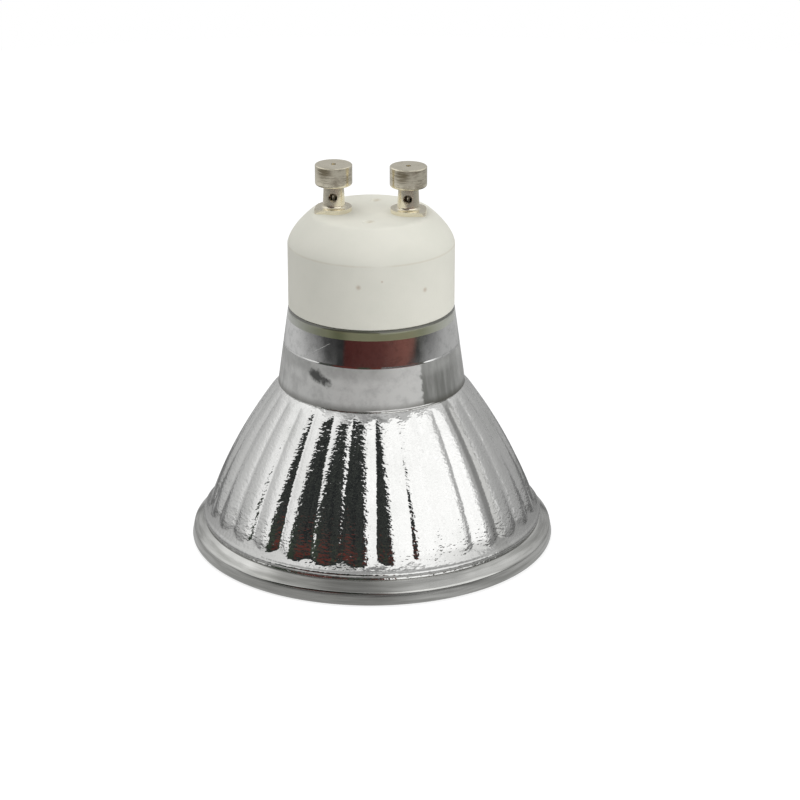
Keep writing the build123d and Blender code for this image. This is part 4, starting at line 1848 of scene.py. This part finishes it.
@dataclass
class StudioWorld:
    """Soft white surround. Mirrors see a white tent that dims to the sides, with a dark flag in front."""

    front_deg: float = 5.486
    fill_strength: float = 0.47
    tent_stops: tuple[Stop, ...] = (
        (-180, 0.5), (-135, 0.72), (-105, 0.78), (-78, 0.9), (0, 1.0), (14, 1.1),
        (84, 1.1), (97, 0.55), (125, 0.55), (180, 0.5),
    )
    tent_cloud: Grain = Grain(9.0)
    tent_cloud_level: Easing = (0.3, 0.7, 0.88, 1.08)
    side_from_deg: float = 78.0
    side_to_deg: float = 98.0
    side_rise: Easing = (4.0, 48.0, 0.72, 1.24)
    zenith_stops: tuple[Stop, ...] = (
        (-180, 0.45), (-95, 0.52), (-62, 0.72), (-28, 0.5), (-2, 0.22), (18, 0.28),
        (48, 0.52), (95, 0.48), (180, 0.42),
    )
    zenith_rise: Easing = (49.5, 58.0, 0.0, 1.0)
    crown_stops: tuple[Stop, ...] = (
        (-180, 0.42), (-110, 0.36), (-62, 0.36), (-10, 0.32), (20, 0.5), (60, 0.6),
        (95, 0.38), (180, 0.34),
    )
    crown_rise: Easing = (60.0, 72.0, 0.0, 1.0)
    horizon_level: float = 0.1
    horizon_side: Easing = (80.0, 110.0, 1.0, 0.0)
    horizon_rise: Easing = (3.0, 6.0, 1.0, 0.0)
    flag_middle_deg: float = -29.5
    flag_half_width_deg: float = 41.8
    flag_top_deg: float = 53.0
    flag_squareness: float = 2.1
    flag_softness: float = 0.08
    flag_tint: Colour = (0.011, 0.012, 0.014, 1.0)
    flag_light_tint: Colour = (0.062, 0.068, 0.060, 1.0)
    flag_cloud: Grain = Grain(14.0, 3.0)
    flag_cloud_lightens: Easing = (0.35, 0.75, 0.0, 1.0)
    flag_foot_rise: Easing = (8.0, 18.0, 0.0, 1.0)
    flag_foot_stops: tuple[Stop, ...] = (
        (-60, (0.045, 0.058, 0.042, 1.0)), (-53, (0.045, 0.058, 0.042, 1.0)),
        (-47, (0.120, 0.034, 0.027, 1.0)), (-20, (0.105, 0.030, 0.025, 1.0)),
        (-15, (0.045, 0.060, 0.042, 1.0)), (-4, (0.045, 0.055, 0.040, 1.0)),
        (1, (0.110, 0.036, 0.028, 1.0)),
    )
    low_rise: Easing = (-0.5, 0.5, 1.0, 0.0)
    low_stops: tuple[Stop, ...] = (
        (-104, 0.5), (-69, 0.085), (-46, 0.03), (-38, 0.03),
        (-34, (0.064, 0.019, 0.017, 1.0)), (11, (0.095, 0.034, 0.030, 1.0)),
        (46, (0.20, 0.084, 0.068, 1.0)), (57, (0.17, 0.082, 0.068, 1.0)),
        (63, (0.105, 0.100, 0.084, 1.0)), (73, (0.149, 0.155, 0.125, 1.0)), (87, 0.24), (103, 0.43),
    )

    def build(self) -> bpy.types.World:
        """Make the world and its nodes.

        Returns:
            The world.
        """
        world = bpy.data.worlds.new("studio")
        world.use_nodes = True
        world.node_tree.nodes.clear()
        bench = NodeBench(world.node_tree)
        seen = self.reflections(bench, bench.add("ShaderNodeTexCoord").outputs["Generated"])
        path = bench.add("ShaderNodeLightPath").outputs
        tone = bench.blend(path["Is Glossy Ray"], grey(self.fill_strength), seen)
        plain = bench.math("MAXIMUM", path["Is Camera Ray"], path["Is Transmission Ray"])
        tone = bench.blend(plain, tone, grey(1.0))
        surround = bench.add("ShaderNodeBackground", {"Color": tone, "Strength": 1.0})
        bench.add("ShaderNodeOutputWorld", {"Surface": surround.outputs[0]})
        bpy.context.scene.world = world
        return world

    def reflections(self, bench: NodeBench, direction: Socket) -> Socket:
        """Colour that a mirror sees in a direction.

        Args:
            bench: the world's nodes.
            direction: the direction's output socket.

        Returns:
            The colour's output socket.
        """
        axes = bench.add("ShaderNodeSeparateXYZ", {0: direction}).outputs
        angle = bench.minus(bench.bearing(axes), self.front_deg)
        height = bench.math("DEGREES", bench.math("ARCSINE", axes["Z"]))
        along = bench.plus(bench.over(angle, 360.0), 0.5)
        ringed = (self.tent_stops, self.zenith_stops, self.crown_stops, self.flag_foot_stops, self.low_stops)
        tent, zenith, crown, flag_foot, low = (
            bench.ramp(along, [(turn / 360 + 0.5, tone) for turn, tone in stops]) for stops in ringed
        )
        off = bench.math("ABSOLUTE", angle)
        cloud = bench.ease(bench.noise(direction, self.tent_cloud), *self.tent_cloud_level)
        lift = bench.ease(height, *self.side_rise)
        lift = bench.ease(off, self.side_from_deg, self.side_to_deg, 1.0, lift)
        tone = bench.vector("SCALE", tent, Scale=bench.times(cloud, lift))[0]
        tone = bench.blend(bench.ease(height, *self.zenith_rise), tone, zenith)
        tone = bench.blend(bench.ease(height, *self.crown_rise), tone, crown)
        horizon = bench.times(bench.ease(height, *self.horizon_rise), bench.ease(off, *self.horizon_side))
        tone = bench.blend(horizon, tone, grey(self.horizon_level))
        lightened = bench.ease(bench.noise(direction, self.flag_cloud), *self.flag_cloud_lightens)
        flag_tone = bench.blend(lightened, self.flag_tint, self.flag_light_tint)
        flag_tone = bench.blend(bench.ease(height, *self.flag_foot_rise), flag_foot, flag_tone)
        tone = bench.blend(self.flag(bench, angle, height), tone, flag_tone)
        return bench.blend(bench.ease(height, *self.low_rise), tone, low)

    def flag(self, bench: NodeBench, angle: Socket, height: Socket) -> Socket:
        """Mask of the dark flag, an upright half of a squarish ellipse.

        Args:
            bench: the world's nodes.
            angle: the direction's angle from the front, in degrees.
            height: its height over the horizon, in degrees.

        Returns:
            The mask's output socket.
        """
        across = bench.over(bench.minus(angle, self.flag_middle_deg), self.flag_half_width_deg)
        across = bench.math("POWER", bench.math("ABSOLUTE", across), self.flag_squareness)
        up = bench.over(bench.math("MAXIMUM", height, 0.0), self.flag_top_deg)
        outline = bench.plus(across, bench.math("POWER", up, self.flag_squareness))
        return bench.fall(outline, 1.0 - self.flag_softness, 1.0 + self.flag_softness)


@dataclass
class StudioFloor:
    """Pale round floor that is white to the camera and keeps the bulb's shadow."""

    radius: float = 300.0
    segments: int = 96
    glow: float = 0.75
    mirrored_shadow_rings: tuple[Stop, ...] = (
        (0, 0.56), (32, 0.5), (42, 0.14), (62, 0.16), (110, 0.56), (165, 0.54), (275, 0.04),
    )
    mirrored_side_shade: Easing = (-160.0 * MM, 160.0 * MM, 1.0, 0.78)
    shadow_tint: Colour = (0.40, 0.40, 0.40, 1.0)
    bounce_tint: Colour = (0.8, 0.8, 0.8, 1.0)

    def build(self) -> bpy.types.Object:
        """Make the floor.

        Returns:
            The floor.
        """
        mesh = bpy.data.meshes.new("floor")
        work = bmesh.new()
        bmesh.ops.create_circle(work, cap_ends=True, radius=self.radius * MM, segments=self.segments)
        work.to_mesh(mesh)
        work.free()
        mesh.materials.append(self.material())
        floor = shown("floor", mesh)
        return floor

    def material(self) -> bpy.types.Material:
        """White to the camera with a soft shadow, to mirrors a glow with a painted shadow round the bulb and
        painted shade towards +X, pale to all other light.

        Returns:
            The floor's material.
        """
        material = bpy.data.materials.new("floor")
        material.use_nodes = True
        material.node_tree.nodes.clear()
        bench = NodeBench(material.node_tree)
        path = bench.add("ShaderNodeLightPath").outputs
        direct = bench.math("MAXIMUM", path["Is Camera Ray"], path["Is Transmission Ray"])
        place = bench.add("ShaderNodeTexCoord").outputs["Object"]
        reach = bench.over(bench.vector("LENGTH", place)["Value"], self.radius * MM)
        # Painted shadow: mirrors see the floor glow in rings, dark close round the bulb and far out, and
        # dimmer towards +X.
        stops = [(distance / self.radius, level) for distance, level in self.mirrored_shadow_rings]
        mirrored_shadow_tone = bench.ramp(reach, stops)
        across = bench.add("ShaderNodeSeparateXYZ", {0: place}).outputs["X"]
        side = bench.ease(across, *self.mirrored_side_shade)
        lit = bench.add("ShaderNodeBsdfDiffuse", {"Color": self.shadow_tint}).outputs[0]
        glow = bench.add("ShaderNodeEmission", {"Color": grey(1.0), "Strength": self.glow}).outputs[0]
        white = bench.add("ShaderNodeAddShader", {0: lit, 1: glow}).outputs[0]
        pale = bench.add("ShaderNodeBsdfDiffuse", {"Color": self.bounce_tint}).outputs[0]
        image = bench.add("ShaderNodeEmission", {"Color": mirrored_shadow_tone, "Strength": side}).outputs[0]
        surface = bench.add("ShaderNodeMixShader", {0: path["Is Glossy Ray"], 1: pale, 2: image}).outputs[0]
        surface = bench.add("ShaderNodeMixShader", {0: direct, 1: surface, 2: white}).outputs[0]
        bench.add("ShaderNodeOutputMaterial", {"Surface": surface})
        return material


@dataclass
class Softbox:
    """Large square lamp that lights the bulb and stays out of its reflections."""

    name: str
    place: Place
    size: float
    power: float
    target: Place = (0.0, 0.0, 30.0)

    def build(self) -> bpy.types.Object:
        """Make the lamp.

        Returns:
            The lamp.
        """
        data = bpy.data.lights.new(self.name, "AREA")
        data.size = self.size * MM
        data.energy = self.power
        lamp = shown(self.name, data)
        aim = Vector(self.target) - Vector(self.place)
        lamp.location = Vector(self.place) * MM
        lamp.rotation_euler = aim.to_track_quat("-Z", "Y").to_euler()
        lamp.visible_glossy = False
        return lamp


def main() -> None:
    """Build the bulb, its studio and its camera."""
    logging.basicConfig(level=logging.INFO, format="%(name)s: %(message)s")
    bpy.ops.object.select_all(action="SELECT")
    bpy.ops.object.delete()
    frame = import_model()
    nodes = frame["nodes"]
    bpy.context.scene.view_settings.view_transform = "Standard"

    smoothed = [
        SmoothedNode("front_lens", "cover_glass", "clear_glass", ClearGlass()),
        SmoothedNode("lens_adhesive", "adhesive_ring", "adhesive", CuredAdhesive()),
        SmoothedNode("capsule", "quartz_capsule", "quartz", FusedQuartz()),
    ]
    pieces = [Reflector().build(), CeramicCap().build(), FilamentCoil().build()]
    pieces += [ContactPin(side).build() for side in PinSide]
    pieces += [piece.build(nodes) for piece in smoothed]
    for piece in pieces:
        log.info("%s: %d faces", piece.name, len(piece.data.polygons))
    for kept in KeptNode:
        kept.dress(nodes)
        log.info("%s: kept and dressed", kept.value[0])

    StudioWorld().build()
    StudioFloor().build()
    Softbox("softbox_right", place=(400.0, -230.0, 180.0), size=260.0, power=0.76).build()
    Softbox("softbox_top", place=(-95.0, 40.0, 470.0), size=300.0, power=0.85).build()
    PhotoCamera().build()


if __name__ == "__main__":
    main()
